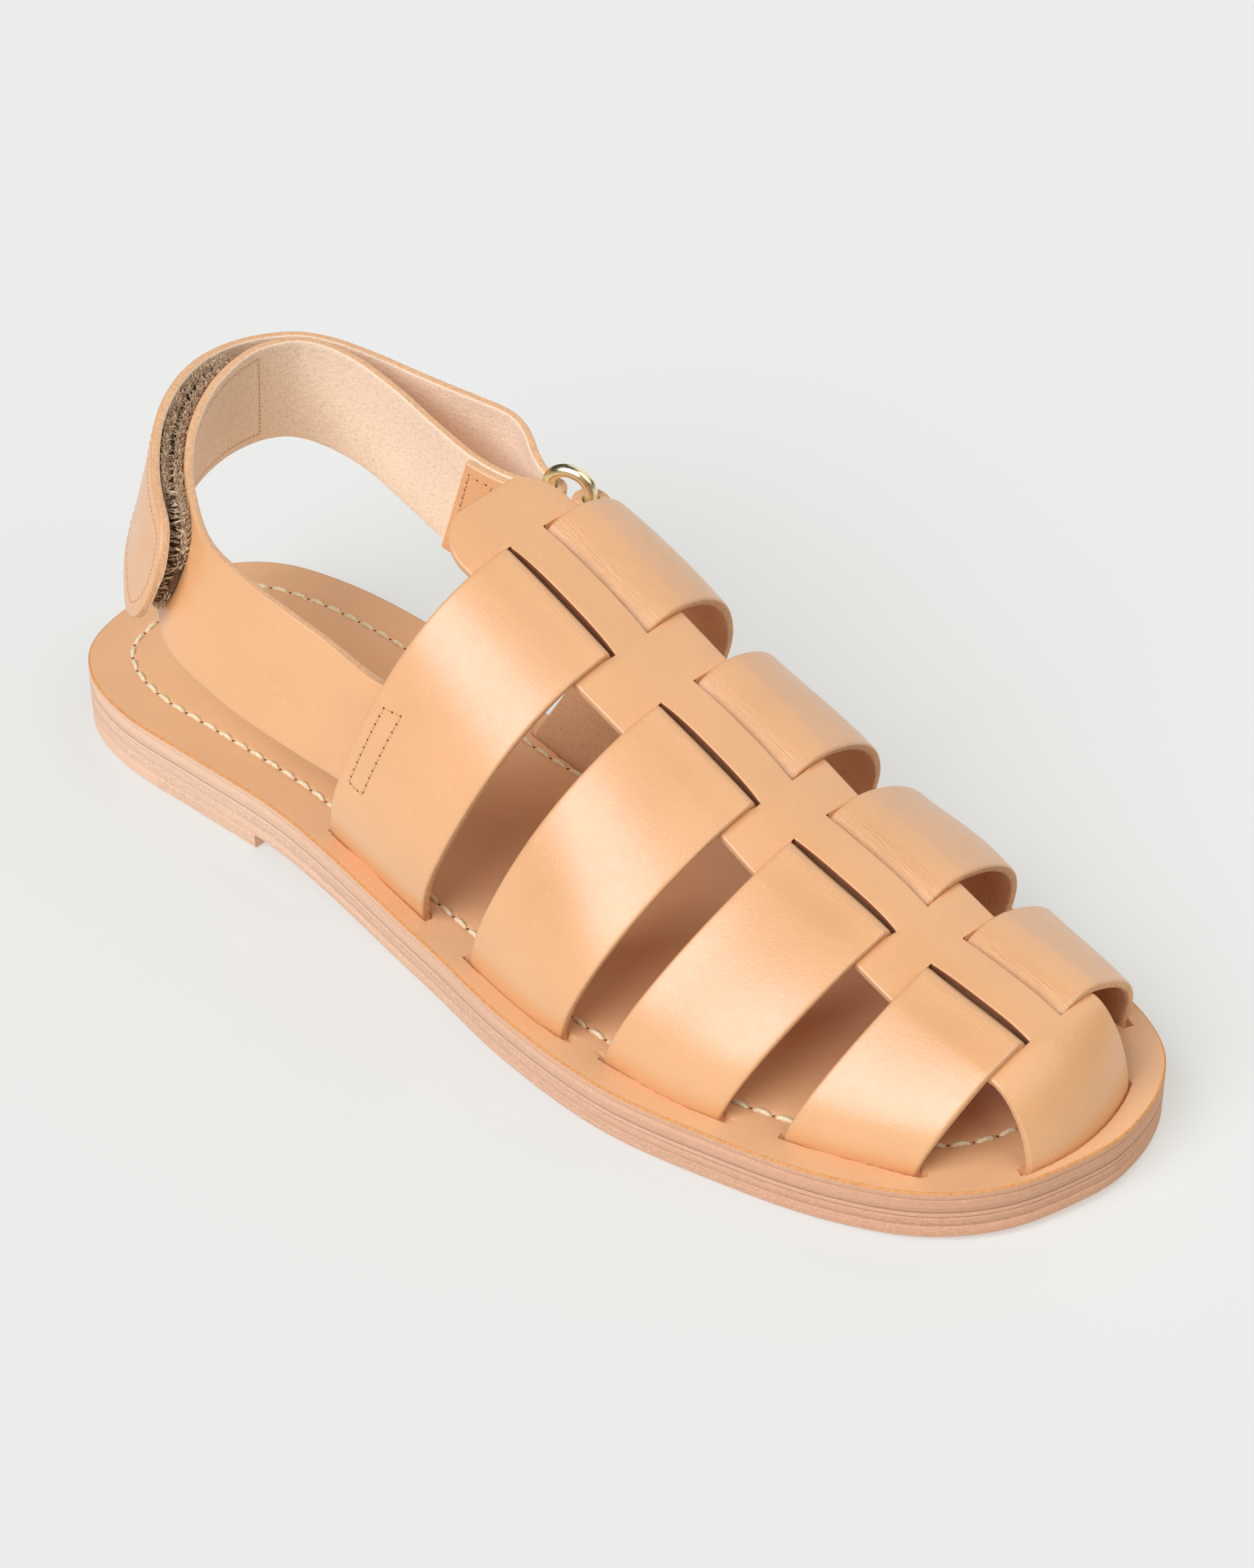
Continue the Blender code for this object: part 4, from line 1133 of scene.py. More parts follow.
def thread_finish(name, colour):
    """Waxed thread: fine strands with darker valleys."""
    finish, tree, shader, place = new_finish(name)
    strand = noise(tree, place, 2600.0, 2.0, 0.6)
    base = ramp(tree, strand, (0.35, shade(colour, 0.72)), (0.55, colour), (0.7, shade(colour, 1.12)))
    plug(tree, shader, Base_Color=base, Normal=bump(tree, strand, 0.0002, 0.5), Roughness=0.62,
         Sheen_Weight=0.2)
    return finish


def hole_shade_finish(name):
    """Painted shade inside a needle hole: dark brown."""
    finish, tree, shader, place = new_finish(name)
    base = ramp(tree, noise(tree, place, 900.0), (0.4, (0.17, 0.06, 0.022)), (0.65, (0.26, 0.11, 0.045)))
    plug(tree, shader, Base_Color=base, Roughness=0.9)
    return finish


def pile_finish(name, colour):
    """Fastener pile: matt fuzz, dark in its depth as painted shade and lighter at its tips."""
    finish, tree, shader, place = new_finish(name)
    fuzz = noise(tree, place, 1100.0, 3.0, 0.75)
    base = ramp(tree, fuzz, (0.34, shade(colour, 0.6)), (0.5, colour), (0.64, shade(colour, 1.7)))
    plug(tree, shader, Base_Color=base, Normal=bump(tree, fuzz, 0.0005, 0.8), Roughness=0.95,
         Specular_IOR_Level=0.1)
    return finish


def brass_finish(name, colour):
    """Polished brass with a faint uneven haze."""
    finish, tree, shader, place = new_finish(name)
    haze = noise(tree, place, 700.0, 3.0, 0.6)
    base = ramp(tree, haze, (0.35, shade(colour, 0.9)), (0.65, shade(colour, 1.05)))
    plug(tree, shader, Base_Color=base, Roughness=remap(tree, haze, 0.3, 0.7, 0.22, 0.32), Metallic=1.0)
    return finish


def floor_finish(name, colour):
    """Plain pale studio floor that gives off a little light of its own, so that shadows stay faint."""
    finish, tree, shader, _ = new_finish(name)
    plug(tree, shader, Base_Color=(*shade(colour, 1.0 - FLOOR_GLOW), 1.0), Emission_Color=(*colour, 1.0),
         Emission_Strength=FLOOR_GLOW, Roughness=0.8, Specular_IOR_Level=0.1)
    return finish


def finishes(colours):
    """Every finish by name, each made once."""
    kinds = {
        "tan_grain": (grain_leather, colours.tan, 0.42, 0.7),
        "insole_grain": (grain_leather, colours.insole, 0.50, 0.3),
        "flesh_side": (flesh_leather, colours.flesh),
        "strap_flesh": (flesh_leather, colours.strap_flesh),
        "cut_edge": (cut_leather, colours.cut),
        "slit_edge": (cut_leather, colours.slit),
        "burnished_rim": (cut_leather, colours.rim),
        "mid_edge": (stacked_leather, shade(colours.sole, 1.05), 0.6),
        "sole_edge": (stacked_leather, colours.sole, 1.0),
        "ply_line": (stacked_leather, shade(colours.sole, 0.62), 0.3),
        "tip_edge": (stacked_leather, shade(colours.sole, 1.06), 0.3),
        "cream_thread": (thread_finish, colours.thread),
        "tan_thread": (thread_finish, colours.strap_thread),
        "needle_hole": (hole_shade_finish,),
        "fastener_pile": (pile_finish, colours.pile),
        "fastener_tuft": (pile_finish, colours.tuft),
        "polished_brass": (brass_finish, colours.brass),
    }
    return {name: bpy.data.materials.get(name) or make(name, *values)
            for name, (make, *values) in kinds.items()}


def leather_set(made, flesh="strap_flesh"):
    """Grain, flesh and cut-edge finishes of a leather strip."""
    return [made["tan_grain"], made[flesh], made["cut_edge"]]


def foot_lines():
    """Middle lines in plan of every strap end and of the toe piece where they go down through the insole."""
    lines = []
    for rear, front in STRAPS:
        for side in (-1.0, 1.0):
            s = np.linspace(rear, front, FOOT_POINTS)
            lines.append(arch(s, 1.0, side)[:, :2] - np.array([0.0, side * LEATHER / 2.0]))
    d = np.linspace(-SPINE_HALF_WIDTH, SPINE_HALF_WIDTH, FOOT_POINTS)
    lines.append(toe_piece(np.ones(d.shape), d)[:, :2] - np.array([LEATHER / 2.0, 0.0]))
    return np.concatenate(lines)


def insole_profile():
    """Rings and walls of the insole: top ring, stitch channel, zone of the slots, rounded rim, lower edge.

    Across, the channel falls as a squared cosine, and the rim is a quarter circle.
    """
    step = np.linspace(CHANNEL_HALF_WIDTH, -CHANNEL_HALF_WIDTH, CHANNEL_POINTS)
    depth = STITCH_CHANNEL * np.cos(step / CHANNEL_HALF_WIDTH * np.pi / 2.0)**2
    rings = [(1.0, INSOLE_TOP_INSET, FOOTBED)]
    rings += [(1.0, inset, FOOTBED - drop) for inset, drop in zip(step, depth)]
    rings += [(0.0, inset, FOOTBED) for inset in SLOT_ZONE]
    flat = len(rings)
    turn = np.linspace(0.0, np.pi / 2.0, RIM_POINTS)
    rings += [(0.0, INSOLE_RIM * (1.0 - np.sin(t)), FOOTBED - INSOLE_RIM * (1.0 - np.cos(t))) for t in turn]
    rings += [(0.0, inset, INSOLE_BASE + height) for inset, height in INSOLE_LOW_EDGE]
    return rings, [0] * flat + [1] * (RIM_POINTS - 1) + [2] * len(INSOLE_LOW_EDGE)


def slot_relief(points):
    """Depth of the slots round the strap ends: full under a strap, back to the surface just beside it."""
    depth = np.zeros(len(points))
    near = points[:, 2] > footbed(points[:, 0]) - SLOT_TOP
    plan = points[near][:, :2]
    gap = np.full(len(plan), np.inf)
    for part in np.array_split(foot_lines(), SLOT_PARTS):
        gap = np.minimum(gap, np.linalg.norm(plan[:, None] - part[None], axis=-1).min(axis=1))
    depth[near] = SLOT_DEPTH * (1.0 - ease(gap, *SLOT_WALL))
    return depth


def layer_profile(base, thickness, edge, line):
    """Rings and walls of a sole layer: rounded top rim, side with a shallow ply line, rounded bottom rim.

    The walls take the second finish for the ply line and the third for the bottom rim.
    """
    turn = np.linspace(0.0, np.pi / 2.0, LAYER_RIM_POINTS)
    near, far = edge * (1.0 - np.sin(turn)), edge * (1.0 - np.cos(turn))
    top = base + thickness
    middle = base + thickness * line
    rings = [(CAP_INSET, top), *zip(near, top - far)]
    rings += [(0.0, middle + PLY_LINE), (PLY_LINE, middle), (0.0, middle - PLY_LINE)]
    rings += [*zip(far, base + near), (CAP_INSET, base)]
    walls = [0] * (LAYER_RIM_POINTS + 1) + [1, 1, 0] + [2] * LAYER_RIM_POINTS
    return [(0.0, inset, height) for inset, height in rings], walls


class SANDAL_OT_sole(bpy.types.Operator):
    """Insole, midsole and outsole with their layered side."""

    bl_idname = "sandal.sole"
    bl_label = "Sole Layers"

    def execute(self, context):
        made = finishes(context.scene.sandal_colours)
        looks = [made[key] for key in ("insole_grain", "burnished_rim", "mid_edge")]
        sole_piece("insole_leather", *insole_profile(), looks, "insole", "tan_leather", INSOLE_COLUMNS,
                   slot_relief)
        layers = (("midsole_leather", MIDSOLE_BASE, MIDSOLE_THICKNESS, MIDSOLE_EDGE, MIDSOLE_LINE,
                   ("mid_edge", "ply_line", "ply_line"), "midsole"),
                  ("outsole_leather", 0.0, OUTSOLE_THICKNESS, OUTSOLE_EDGE, OUTSOLE_LINE,
                   ("sole_edge", "sole_edge", "sole_edge"), "outsole"))
        for name, base, thickness, edge, line, keys, node_name in layers:
            profile, walls = layer_profile(base, thickness + LAYER_FILL, edge, line)
            sole_piece(name, profile, walls, [made[key] for key in keys], node_name, "sole_leather")
        return {"FINISHED"}


def heel_block(start, end):
    """Slab of the lift between two stations: lines across the outline, a rounded rim above and below.

    Rows run from the heel's back to the breast; each row is a closed profile across the sole, so the slab is
    a profile carried along the shoe and closed at both ends.
    """
    first, last = np.arccos(1.0 - 2.0 * np.array([start, end]) / SOLE_LENGTH)
    x, lateral, medial = sole_edge(np.linspace(max(first, HEEL_FIRST_TURN), last, HEEL_ROWS))[:3]
    thickness = HEEL_LIFT_THICKNESS + LAYER_FILL
    a, b, h = strip_profile(HEEL_ACROSS, thickness, HEEL_EDGE)[:3]
    across = lateral[:, None] + a + b * (medial - lateral)[:, None]
    points = np.stack(np.broadcast_arrays(x[:, None], across, h + thickness / 2.0), axis=-1)
    faces = outwards(points, tube_faces(*points.shape[:2]), len(a) // 4, UP)
    along, across, height = np.moveaxis(points, -1, 0)
    return points, faces, np.stack([along + np.abs(across) * HEEL_GRAIN_SLANT, height, across], axis=-1)


class SANDAL_OT_heel(bpy.types.Operator):
    """Low heel lift and its separate rear tip."""

    bl_idname = "sandal.heel"
    bl_label = "Heel Lift"

    def execute(self, context):
        made = finishes(context.scene.sandal_colours)
        joint = HEEL_TIP_FRONT + FIT_GAP - LAYER_FILL
        parts = (("heel_lift_leather", joint, HEEL_BREAST, "sole_edge", "heel_lift", "sole_leather"),
                 ("heel_tip_leather", 0.0, HEEL_TIP_FRONT, "tip_edge", "heel_tip", "tip_leather"))
        for name, start, end, finish, node_name, slot in parts:
            points, faces, run = heel_block(start, end)
            put_mesh(name, points, faces, [made[finish]], None, node_name, slot, {"run": run})
        return {"FINISHED"}


def slit_share(s):
    """Share along the slit at a station: 0 at its rear end, 1 at its front end, -1 away from any slit."""
    s = np.asarray(s, dtype=float)
    share = np.full(s.shape, -1.0)
    for rear, front in STRAPS:
        t = (s - rear + SLIT_OVERRUN) / (front - rear + 2.0 * SLIT_OVERRUN)
        share = np.where((t >= 0.0) & (t <= 1.0), t, share)
    return share


def slit_bow(t, power):
    """Rise and fall along a slit: 1 - |2t - 1|^power, and 0 away from it."""
    return np.where(t < 0.0, 0.0, np.clip(1.0 - np.abs(2.0 * t - 1.0)**power, 0.0, None))


def band_bow(share):
    """Rise of the spine's middle band over a strap, along the slit."""
    return BAND_RISE * slit_bow(share, BAND_BOW)


def strap_height(s, d):
    """Height of a strap's outer face above the last, at a station and a signed distance from the middle.

    It runs under the bowed band, climbs out of the slit to a soft ridge on the spine's flank, steeply on the
    lateral side and slowly on the medial side, and stays one leather above the flank.
    """
    top = np.where(d < 0, CLIMB_LATERAL, CLIMB_MEDIAL)
    ridge = np.where(d < 0, RIDGE_LATERAL, RIDGE_MEDIAL)
    d = np.abs(d)
    under = band_bow(slit_share(s)) - LEATHER - LAYER_GAP
    crest = STRAP_RISE + ridge * np.exp(-((d - top) / RIDGE_WIDTH)**2)
    left = 1.0 - np.clip((d - CLIMB_START) / (top - CLIMB_START), 0.0, 1.0)
    return under + (crest - under) * (1.0 - left**2)


def near_steps(edge):
    """Distances from a cut edge that round it: dense within the edge radius."""
    return edge * (1.0 - np.cos(np.linspace(0.0, np.pi / 2.0, EDGE_POINTS)))


def spine_columns(edge):
    """Signed distances from the spine's middle for its columns, with slit lips and outer edges rounded."""
    close, lip = near_steps(edge), near_steps(SLIT_LIP)
    start = BAND_HALF_WIDTH + SLIT_WIDTH
    band = np.linspace(0.0, BAND_HALF_WIDTH - SLIT_LIP, BAND_COLUMNS)[:-1]
    flank = np.linspace(start + SLIT_LIP, SPINE_HALF_WIDTH - edge, FLANK_COLUMNS)[1:-1]
    half = np.concatenate([band, (BAND_HALF_WIDTH - lip)[::-1], start + lip, flank,
                           (SPINE_HALF_WIDTH - close)[::-1]])
    return np.concatenate([-half[::-1], half[1:]])


def spine_lines(edge):
    """Stations of the spine, close at the tongue's end and at the slits' ends, and turns of the toe."""
    corner = TONGUE_TIP + TONGUE_CORNER * (1.0 - np.cos(np.linspace(0.0, np.pi / 2.0, CORNER_ROWS)))
    tip = [TONGUE_TIP + near_steps(edge), corner[corner > TONGUE_TIP + edge]]
    even = np.arange(corner[-1] + SPINE_START_GAP, SPINE_END + SLIT_OVERRUN - SPINE_END_GAP, SPINE_STEP)
    slits = np.array(STRAPS) + np.array([-SLIT_OVERRUN, SLIT_OVERRUN])
    along = np.unique(np.concatenate([*tip, even, slits.ravel()]).round(4))
    return along[along <= SPINE_END], np.linspace(0.0, 1.0, TOE_ROWS)[1:]


def spine_surface(edge):
    """Grid of the spine strip on the last: points, normals, columns, stations and distances across.

    The tongue's corners are quarter circles, and beside a slit the band draws in like a lens.
    """
    d = spine_columns(edge)
    along, turns = spine_lines(edge)
    corner = np.clip((TONGUE_TIP + TONGUE_CORNER - along) / TONGUE_CORNER, 0.0, 1.0)
    narrow = SPINE_HALF_WIDTH - TONGUE_CORNER * (1.0 - np.sqrt(1.0 - corner**2))
    across = d[None, :] * (narrow / SPINE_HALF_WIDTH)[:, None]
    side = np.where(across < 0, -1.0, 1.0)
    lens = np.where(side < 0, LENS_LATERAL, LENS_MEDIAL) * slit_bow(slit_share(along), LENS_BOW)[:, None]
    pull = np.where(np.abs(d) <= BAND_LIMIT, np.abs(d / BAND_HALF_WIDTH)**3, 0.0)
    across = across - side * lens * pull[None, :]

    def top(shift):
        s = along[:, None] + shift
        return arch(s, np.abs(across) / half_width(s, side), side)

    toe_t, toe_d = np.meshgrid(turns, d, indexing="ij")
    toe = toe_piece(toe_t, toe_d)
    toe_ahead = toe_piece(np.minimum(toe_t + TOE_AHEAD, 1.0), toe_d) - toe_piece(toe_t - TOE_BEHIND, toe_d)
    skirt = toe[-1:] - TOE_SKIRT * UP
    points = np.concatenate([top(0.0), toe, skirt])
    down = np.broadcast_to(-UP, skirt.shape)
    ahead = np.concatenate([top(STEP_ALONG) - top(-STEP_ALONG), toe_ahead, down])
    normals = unit(np.cross(ahead, np.gradient(points, d, axis=1)))
    middle = points[len(along) - 1:, len(d) // 2]
    stations = np.concatenate([along, SPINE_END + lengths(middle)[1:]])
    return points, normals, d, stations, np.concatenate([across, toe_d, toe_d[-1:]])


class SANDAL_OT_spine(bpy.types.Operator):
    """Spine strip from the rounded tongue to the toe piece, with a pair of slits for each strap."""

    bl_idname = "sandal.spine"
    bl_label = "Spine Strip"

    def execute(self, context):
        made = finishes(context.scene.sandal_colours)
        edge = context.scene.sandal_sizes.edge_round / MM
        points, normals, d, stations, across = spine_surface(edge)
        share = slit_share(stations)[:, None]
        size = np.abs(d)[None, :]
        on_band = size <= BAND_LIMIT
        pressed = np.where(share < 0.0, 0.0, ease(np.minimum(share, 1.0 - share), 0.0, SLIT_PRESS))
        flank = np.minimum(strap_height(stations[:, None], d[None, :]) - LEATHER - LAYER_GAP / 2.0, 0.0)
        middle = np.where(on_band, band_bow(share), flank * pressed)
        lip = np.where(on_band, BAND_HALF_WIDTH - size, size - BAND_HALF_WIDTH - SLIT_WIDTH)
        slit_gap = np.where(share >= 0.0, lip, SLIT_LIP)
        rim = np.minimum(SPINE_HALF_WIDTH - size, (stations - TONGUE_TIP)[:, None])
        drop = np.maximum(rim_drop(slit_gap, SLIT_LIP), rim_drop(rim, edge))
        filled = np.ones((len(stations) - 1, len(d) - 1), dtype=bool)
        mid_d = np.abs(d[:-1] + d[1:]) / 2.0
        slit_columns = (mid_d > BAND_HALF_WIDTH) & (mid_d < BAND_HALF_WIDTH + SLIT_WIDTH)
        slit_rows = slit_share((stations[:-1] + stations[1:]) / 2.0) >= 0.0
        filled[np.ix_(slit_rows, slit_columns)] = False
        lay = np.stack([np.repeat(stations[:, None], len(d), axis=1), across, np.maximum(rim, 0.0)], axis=-1)
        # The slits' edges take the darker cut edge, painted shade inside the slits
        wall_piece("spine_strip", points, normals, middle - drop, middle - LEATHER + drop, filled,
                   [*leather_set(made), made["slit_edge"]], lay, "upper", "tan_leather")
        return {"FINISHED"}


def strap_path(rear, front):
    """Signed reach and depth along a strap, from its lateral to its medial foot, closer at the slits."""
    middle = (rear + front) / 2.0
    halves = []
    for side in (-1.0, 1.0):
        r = 1.0 - np.linspace(0.0, 1.0, PATH_STEPS)**PATH_POWER
        d = r * half_width(middle, side)
        weight = 1.0 + WEAVE_DENSITY * np.exp(-((d - WEAVE_MIDDLE) / WEAVE_WIDTH)**2)
        steps = np.diff(lengths(arch(middle, r, side))) * (weight[1:] + weight[:-1]) / 2.0
        distance = np.concatenate([[0.0], np.cumsum(steps)])
        even = np.linspace(0.0, distance[-1], int(distance[-1] / STRAP_SPACING))
        halves.append(np.interp(even, distance, r) * side)
    ends = np.ones(FOOT_ROWS)
    reach = np.concatenate([-ends, halves[0], halves[1][:-1][::-1], ends])
    feet = np.linspace(FOOT_DEPTH, 0.0, FOOT_ROWS + 1)[:-1]
    return reach, np.concatenate([feet, np.zeros(len(reach) - 2 * FOOT_ROWS), feet[::-1]])


def strap_grid(share, rear, front, reach):
    """Station, r of the arch and side of a strap's points, at shares across its width."""
    side = np.where(reach < 0, -1.0, 1.0)
    return np.broadcast_arrays(rear + share * (front - rear), np.abs(reach)[:, None], side[:, None])


def strap_offset(s, r, side, share, crown):
    """Height of a strap's outer face above the last, crowned between its edges and fading to the foot."""
    width = half_width(s, side)
    d = r * width
    panel = np.clip((d - SPINE_HALF_WIDTH) / (width - SPINE_HALF_WIDTH), 0.0, 1.0)
    belly = crown * (1.0 - (2.0 * share - 1.0)**2) * ease(d, *BELLY_ZONE)
    return strap_height(s, d * side) * (1.0 - panel)**2 + belly


def strap_surface(share, rear, front, reach, below, crown):
    """Middle surface and normals of one strap on the last, with its climb and crown."""
    s, r, side = strap_grid(share, rear, front, reach)
    down = below[:, None]
    points = arch(s, r, side, down)
    along = arch(s + STEP_ALONG, r, side, down) - arch(s - STEP_ALONG, r, side, down)
    normals = unit(np.cross(along, np.gradient(points, axis=0)))
    offset = strap_offset(s, r, side, share, crown)
    return points + normals * (offset - LEATHER / 2.0)[..., None], normals


def strap_crease_and_shade(share, rear, front, reach):
    """Mark of a strap near its slits: strength of the creases, then the strength of the painted shade inside
    the slit.
    """
    s, r, side = strap_grid(share, rear, front, reach)
    d = r * half_width(s, side)
    crease = ease(d, *CREASE_START) * (1.0 - ease(d, *CREASE_END)) * np.where(side < 0, CREASE_LATERAL, 1.0)
    # Painted shade inside the slit, fading out as the strap climbs onto the flank
    dark = 1.0 - np.where(side < 0, ease(d, *SLIT_SHADE_LATERAL), ease(d, *SLIT_SHADE_MEDIAL))
    return np.stack([crease, dark, np.zeros(d.shape)], axis=-1)


class SANDAL_OT_straps(bpy.types.Operator):
    """Four cross straps that run over the spine's flanks and under its middle band."""

    bl_idname = "sandal.straps"
    bl_label = "Cross Straps"

    def execute(self, context):
        made = finishes(context.scene.sandal_colours)
        sizes = context.scene.sandal_sizes
        edge, crown = sizes.edge_round / MM, sizes.strap_crown / MM
        for number, (rear, front) in enumerate(STRAPS):
            reach, below = strap_path(rear, front)
            side = np.where(reach < 0, -1.0, 1.0)
            stations = lengths(arch((rear + front) / 2.0, np.abs(reach), side, below))
            surface = partial(strap_surface, rear=rear, front=front, reach=reach, below=below, crown=crown)
            bend = partial(strap_crease_and_shade, rear=rear, front=front, reach=reach)
            strip_piece(f"cross_strap_{number + 1}", surface, stations, np.full(len(reach), front - rear),
                        STRAP_COLUMNS, edge, leather_set(made), "upper", "tan_leather", bend=bend)
        return {"FINISHED"}


def heel_strips(edge):
    """Name, lines, stations, normals, rounded ends and node of the two heel strips and the ring tab."""
    grid, normals, spread, rise = heel_grid()
    inner, inner_at, inner_up = strip_lines(grid, STRIP_SPACING, 0.0, edge)
    centre = inner[:, 1].mean(axis=0)
    inner_up = inner_up * np.sign((inner_up[:, 1] * (inner[:, 1] - centre)).sum(axis=-1).mean())
    path = outer_rows(grid, normals, spread, rise)
    outer, outer_at, outer_up = strip_lines(path, STRIP_SPACING, edge, FREE_END_ROUND)
    outer = corner_end(outer, outer_at, FREE_END_ROUND)
    late = len(outer) * 3 // 4
    outer_up = outer_up * np.sign((outer_up[late, 1] * (outer[late, 1] - centre)).sum())
    tab, tab_at, tab_up = strip_lines(tab_rows(grid, normals), TAB_SPACING)
    tab_up = tab_up * np.sign(tab_up[2, 1, 1])
    return (("inner_heel_strip", inner, inner_at, inner_up, (False, True), "heel_strap_inner"),
            ("outer_heel_strip", outer, outer_at, outer_up, (True, True), "heel_strap_outer"),
            ("ring_tab_leather", tab, tab_at, tab_up, (False, False), "ring_tab"))


class SANDAL_OT_heel_strap(bpy.types.Operator):
    """Inner and outer heel strips and the tab that holds the ring."""

    bl_idname = "sandal.heel_strap"
    bl_label = "Heel Strap"

    def execute(self, context):
        made = finishes(context.scene.sandal_colours)
        edge = context.scene.sandal_sizes.edge_round / MM
        for name, lines, stations, normals, ends, node_name in heel_strips(edge):
            strip_piece(name, ruled(lines, normals), stations, strip_widths(lines), STRIP_COLUMNS, edge,
                        leather_set(made, "flesh_side"), node_name, "tan_leather", *ends)
        return {"FINISHED"}


def pad_shape(rows, facing, face):
    """Flat pad along a heel strip, with its fine top, middle and bottom lines and their normals."""
    knots = lengths(rows[:, 1])
    stations = np.linspace(0.0, knots[-1], int(knots[-1] / PAD_SPACING))
    lines = corner_end(smooth_rows(stations, knots, rows), stations, PAD_CORNER)
    normals = unit(smooth_rows(stations, knots, facing))
    a, b, h = strip_profile(PAD_COLUMNS, PAD_THICKNESS, PAD_EDGE)[:3]
    share = b[None, :] + a[None, :] / strip_widths(lines)[:, None]
    points, up = ruled(lines, normals)(share)
    points = points + up * h[None, :, None]
    faces = outwards(points, tube_faces(*points.shape[:2]), len(a) // 4, up[0, len(a) // 4])
    return points.reshape(-1, 3), [*faces], (lines, normals * face)


def tuft_shape(fine, height, seed):
    """Short bent tufts over a pad's open face and its rim: slim three-sided spikes with a bend half way.

    Most stand on the top or bottom rim and lean away from the pad; the others stand on the face and lean up.
    """
    lines, normals = fine
    random = np.random.default_rng(seed)
    count = TUFTS
    place = random.random(count) * (len(lines) - 1)
    on_rim = random.random(count) < TUFTS_ON_RIM
    share = np.where(on_rim, np.round(random.random(count)), random.random(count))
    row = np.clip(place.astype(int), 0, len(lines) - 2)
    part = (place - row)[:, None]
    top, bottom, up = (line[row] * (1 - part) + line[row + 1] * part
                       for line in (lines[:, 0], lines[:, 2], normals[:, 1]))
    up = unit(up)
    across = unit(bottom - top)
    edge = np.where(share <= 0.0, -1.0, np.where(share >= 1.0, 1.0, 0.0))[:, None]
    depth = np.where(edge[:, 0] != 0.0, random.random(count) * 2.0 - 1.0, 1.0)[:, None] * PAD_THICKNESS / 2.0
    foot = top + (bottom - top) * share[:, None] + up * depth
    lean = unit(np.where(edge != 0.0, across * edge, up) + TUFT_LEAN * (random.random((count, 3)) - 0.5))
    size = height * (TUFT_SHORTEST + TUFT_VARIES * random.random(count))[:, None]
    bend = foot + lean * size * TUFT_LOWER
    tip = bend + unit(lean + TUFT_CURL * (random.random((count, 3)) - 0.5)) * size * TUFT_UPPER
    side = unit(np.cross(lean, across + TUFT_SKEW))
    other = np.cross(lean, side)
    ring = [a * side + b * other for a, b in TUFT_SECTION]
    lower = np.stack([foot - lean * TUFT_ROOT + TUFT_FOOT * r for r in ring], axis=1)
    upper = np.stack([bend + TUFT_BEND * r for r in ring], axis=1)
    points = np.concatenate([lower, upper, tip[:, None]], axis=1)
    quads = np.array([[0, 1, 4, 3], [1, 2, 5, 4], [2, 0, 3, 5]])
    ends = np.array([[3, 4, 6], [4, 5, 6], [5, 3, 6]])
    root = np.array([[2, 1, 0]])
    starts = np.arange(count)[:, None, None] * points.shape[1]
    faces = [face for kind in (quads, ends, root) for face in (kind + starts).reshape(-1, kind.shape[1])]
    return points.reshape(-1, 3), faces


class SANDAL_OT_pads(bpy.types.Operator):
    """Hook and loop pads between the heel strips, with their fuzz."""

    bl_idname = "sandal.pads"
    bl_label = "Fastener Pads"

    def execute(self, context):
        made = finishes(context.scene.sandal_colours)
        pile = context.scene.sandal_sizes.pile_height / MM
        grid, normals, spread, rise = heel_grid()
        run = outer_run(grid, normals, spread, rise)
        seat = LEATHER / 2.0 + FIT_GAP + PAD_THICKNESS / 2.0
        parts = (("hook_pile", grid, HOOK_PAD_STATIONS, seat, 1.0, "hook_pad", HOOK_SEED),
                 ("loop_pile", run, LOOP_PAD_STATIONS, -seat, -1.0, "loop_pad", LOOP_SEED))
        for name, base, (first, last), offset, face, node_name, seed in parts:
            rows = base[first:last] + normals[first:last] * offset
            middle = rows[:, 1:2]
            half = strip_widths(rows)[:, None, None] / 2.0
            rows = middle + (rows - middle) * (half - PAD_MARGIN) / half
            points, faces, fine = pad_shape(rows[::-1], normals[first:last][::-1], face)
            tufts = tuft_shape(fine, pile, seed)
            places, rings = join([(points, faces), tufts])
            kinds = np.repeat([0, 1], [len(faces), len(tufts[1])])
            put_mesh(name, places, rings, [made["fastener_pile"], made["fastener_tuft"]], kinds, node_name,
                     "fastener_pad")
        return {"FINISHED"}


class SANDAL_OT_ring(bpy.types.Operator):
    """Oval brass ring: a round wire carried along two straight bars and two half-round ends."""

    bl_idname = "sandal.ring"
    bl_label = "Brass Ring"

    def execute(self, context):
        made = finishes(context.scene.sandal_colours)
        grid, normals = heel_grid()[:2]
        bar, forward, outward, up = ring_place(grid, normals)
        centre = bar[1] + forward * RING_HALF_WIDTH + up * RING_LIFT
        turn = np.linspace(0.0, np.pi, RING_END_STEPS)
        wide = np.cos(turn) * RING_HALF_WIDTH
        tall = RING_BAR + RING_END * np.sin(turn)
        path = centre + np.concatenate([np.outer(sign * wide, forward) + np.outer(sign * tall, up)
                                        for sign in (1.0, -1.0)])
        along = unit(np.roll(path, -1, axis=0) - np.roll(path, 1, axis=0))
        side = unit(np.cross(along, outward))
        spin = np.linspace(0.0, 2.0 * np.pi, RING_WIRE_SIDES, endpoint=False)
        ring = np.cos(spin)[:, None] * side[:, None] + np.sin(spin)[:, None] * outward
        points = path[:, None] + ring * RING_WIRE
        faces = grid_faces(len(path) + 1, len(spin)) % (len(path) * len(spin))
        faces = outwards(points, faces, 0, ring[0, 0])
        put_mesh("brass_ring", points, faces, [made["polished_brass"]], None, "ring", "ring_brass")
        return {"FINISHED"}


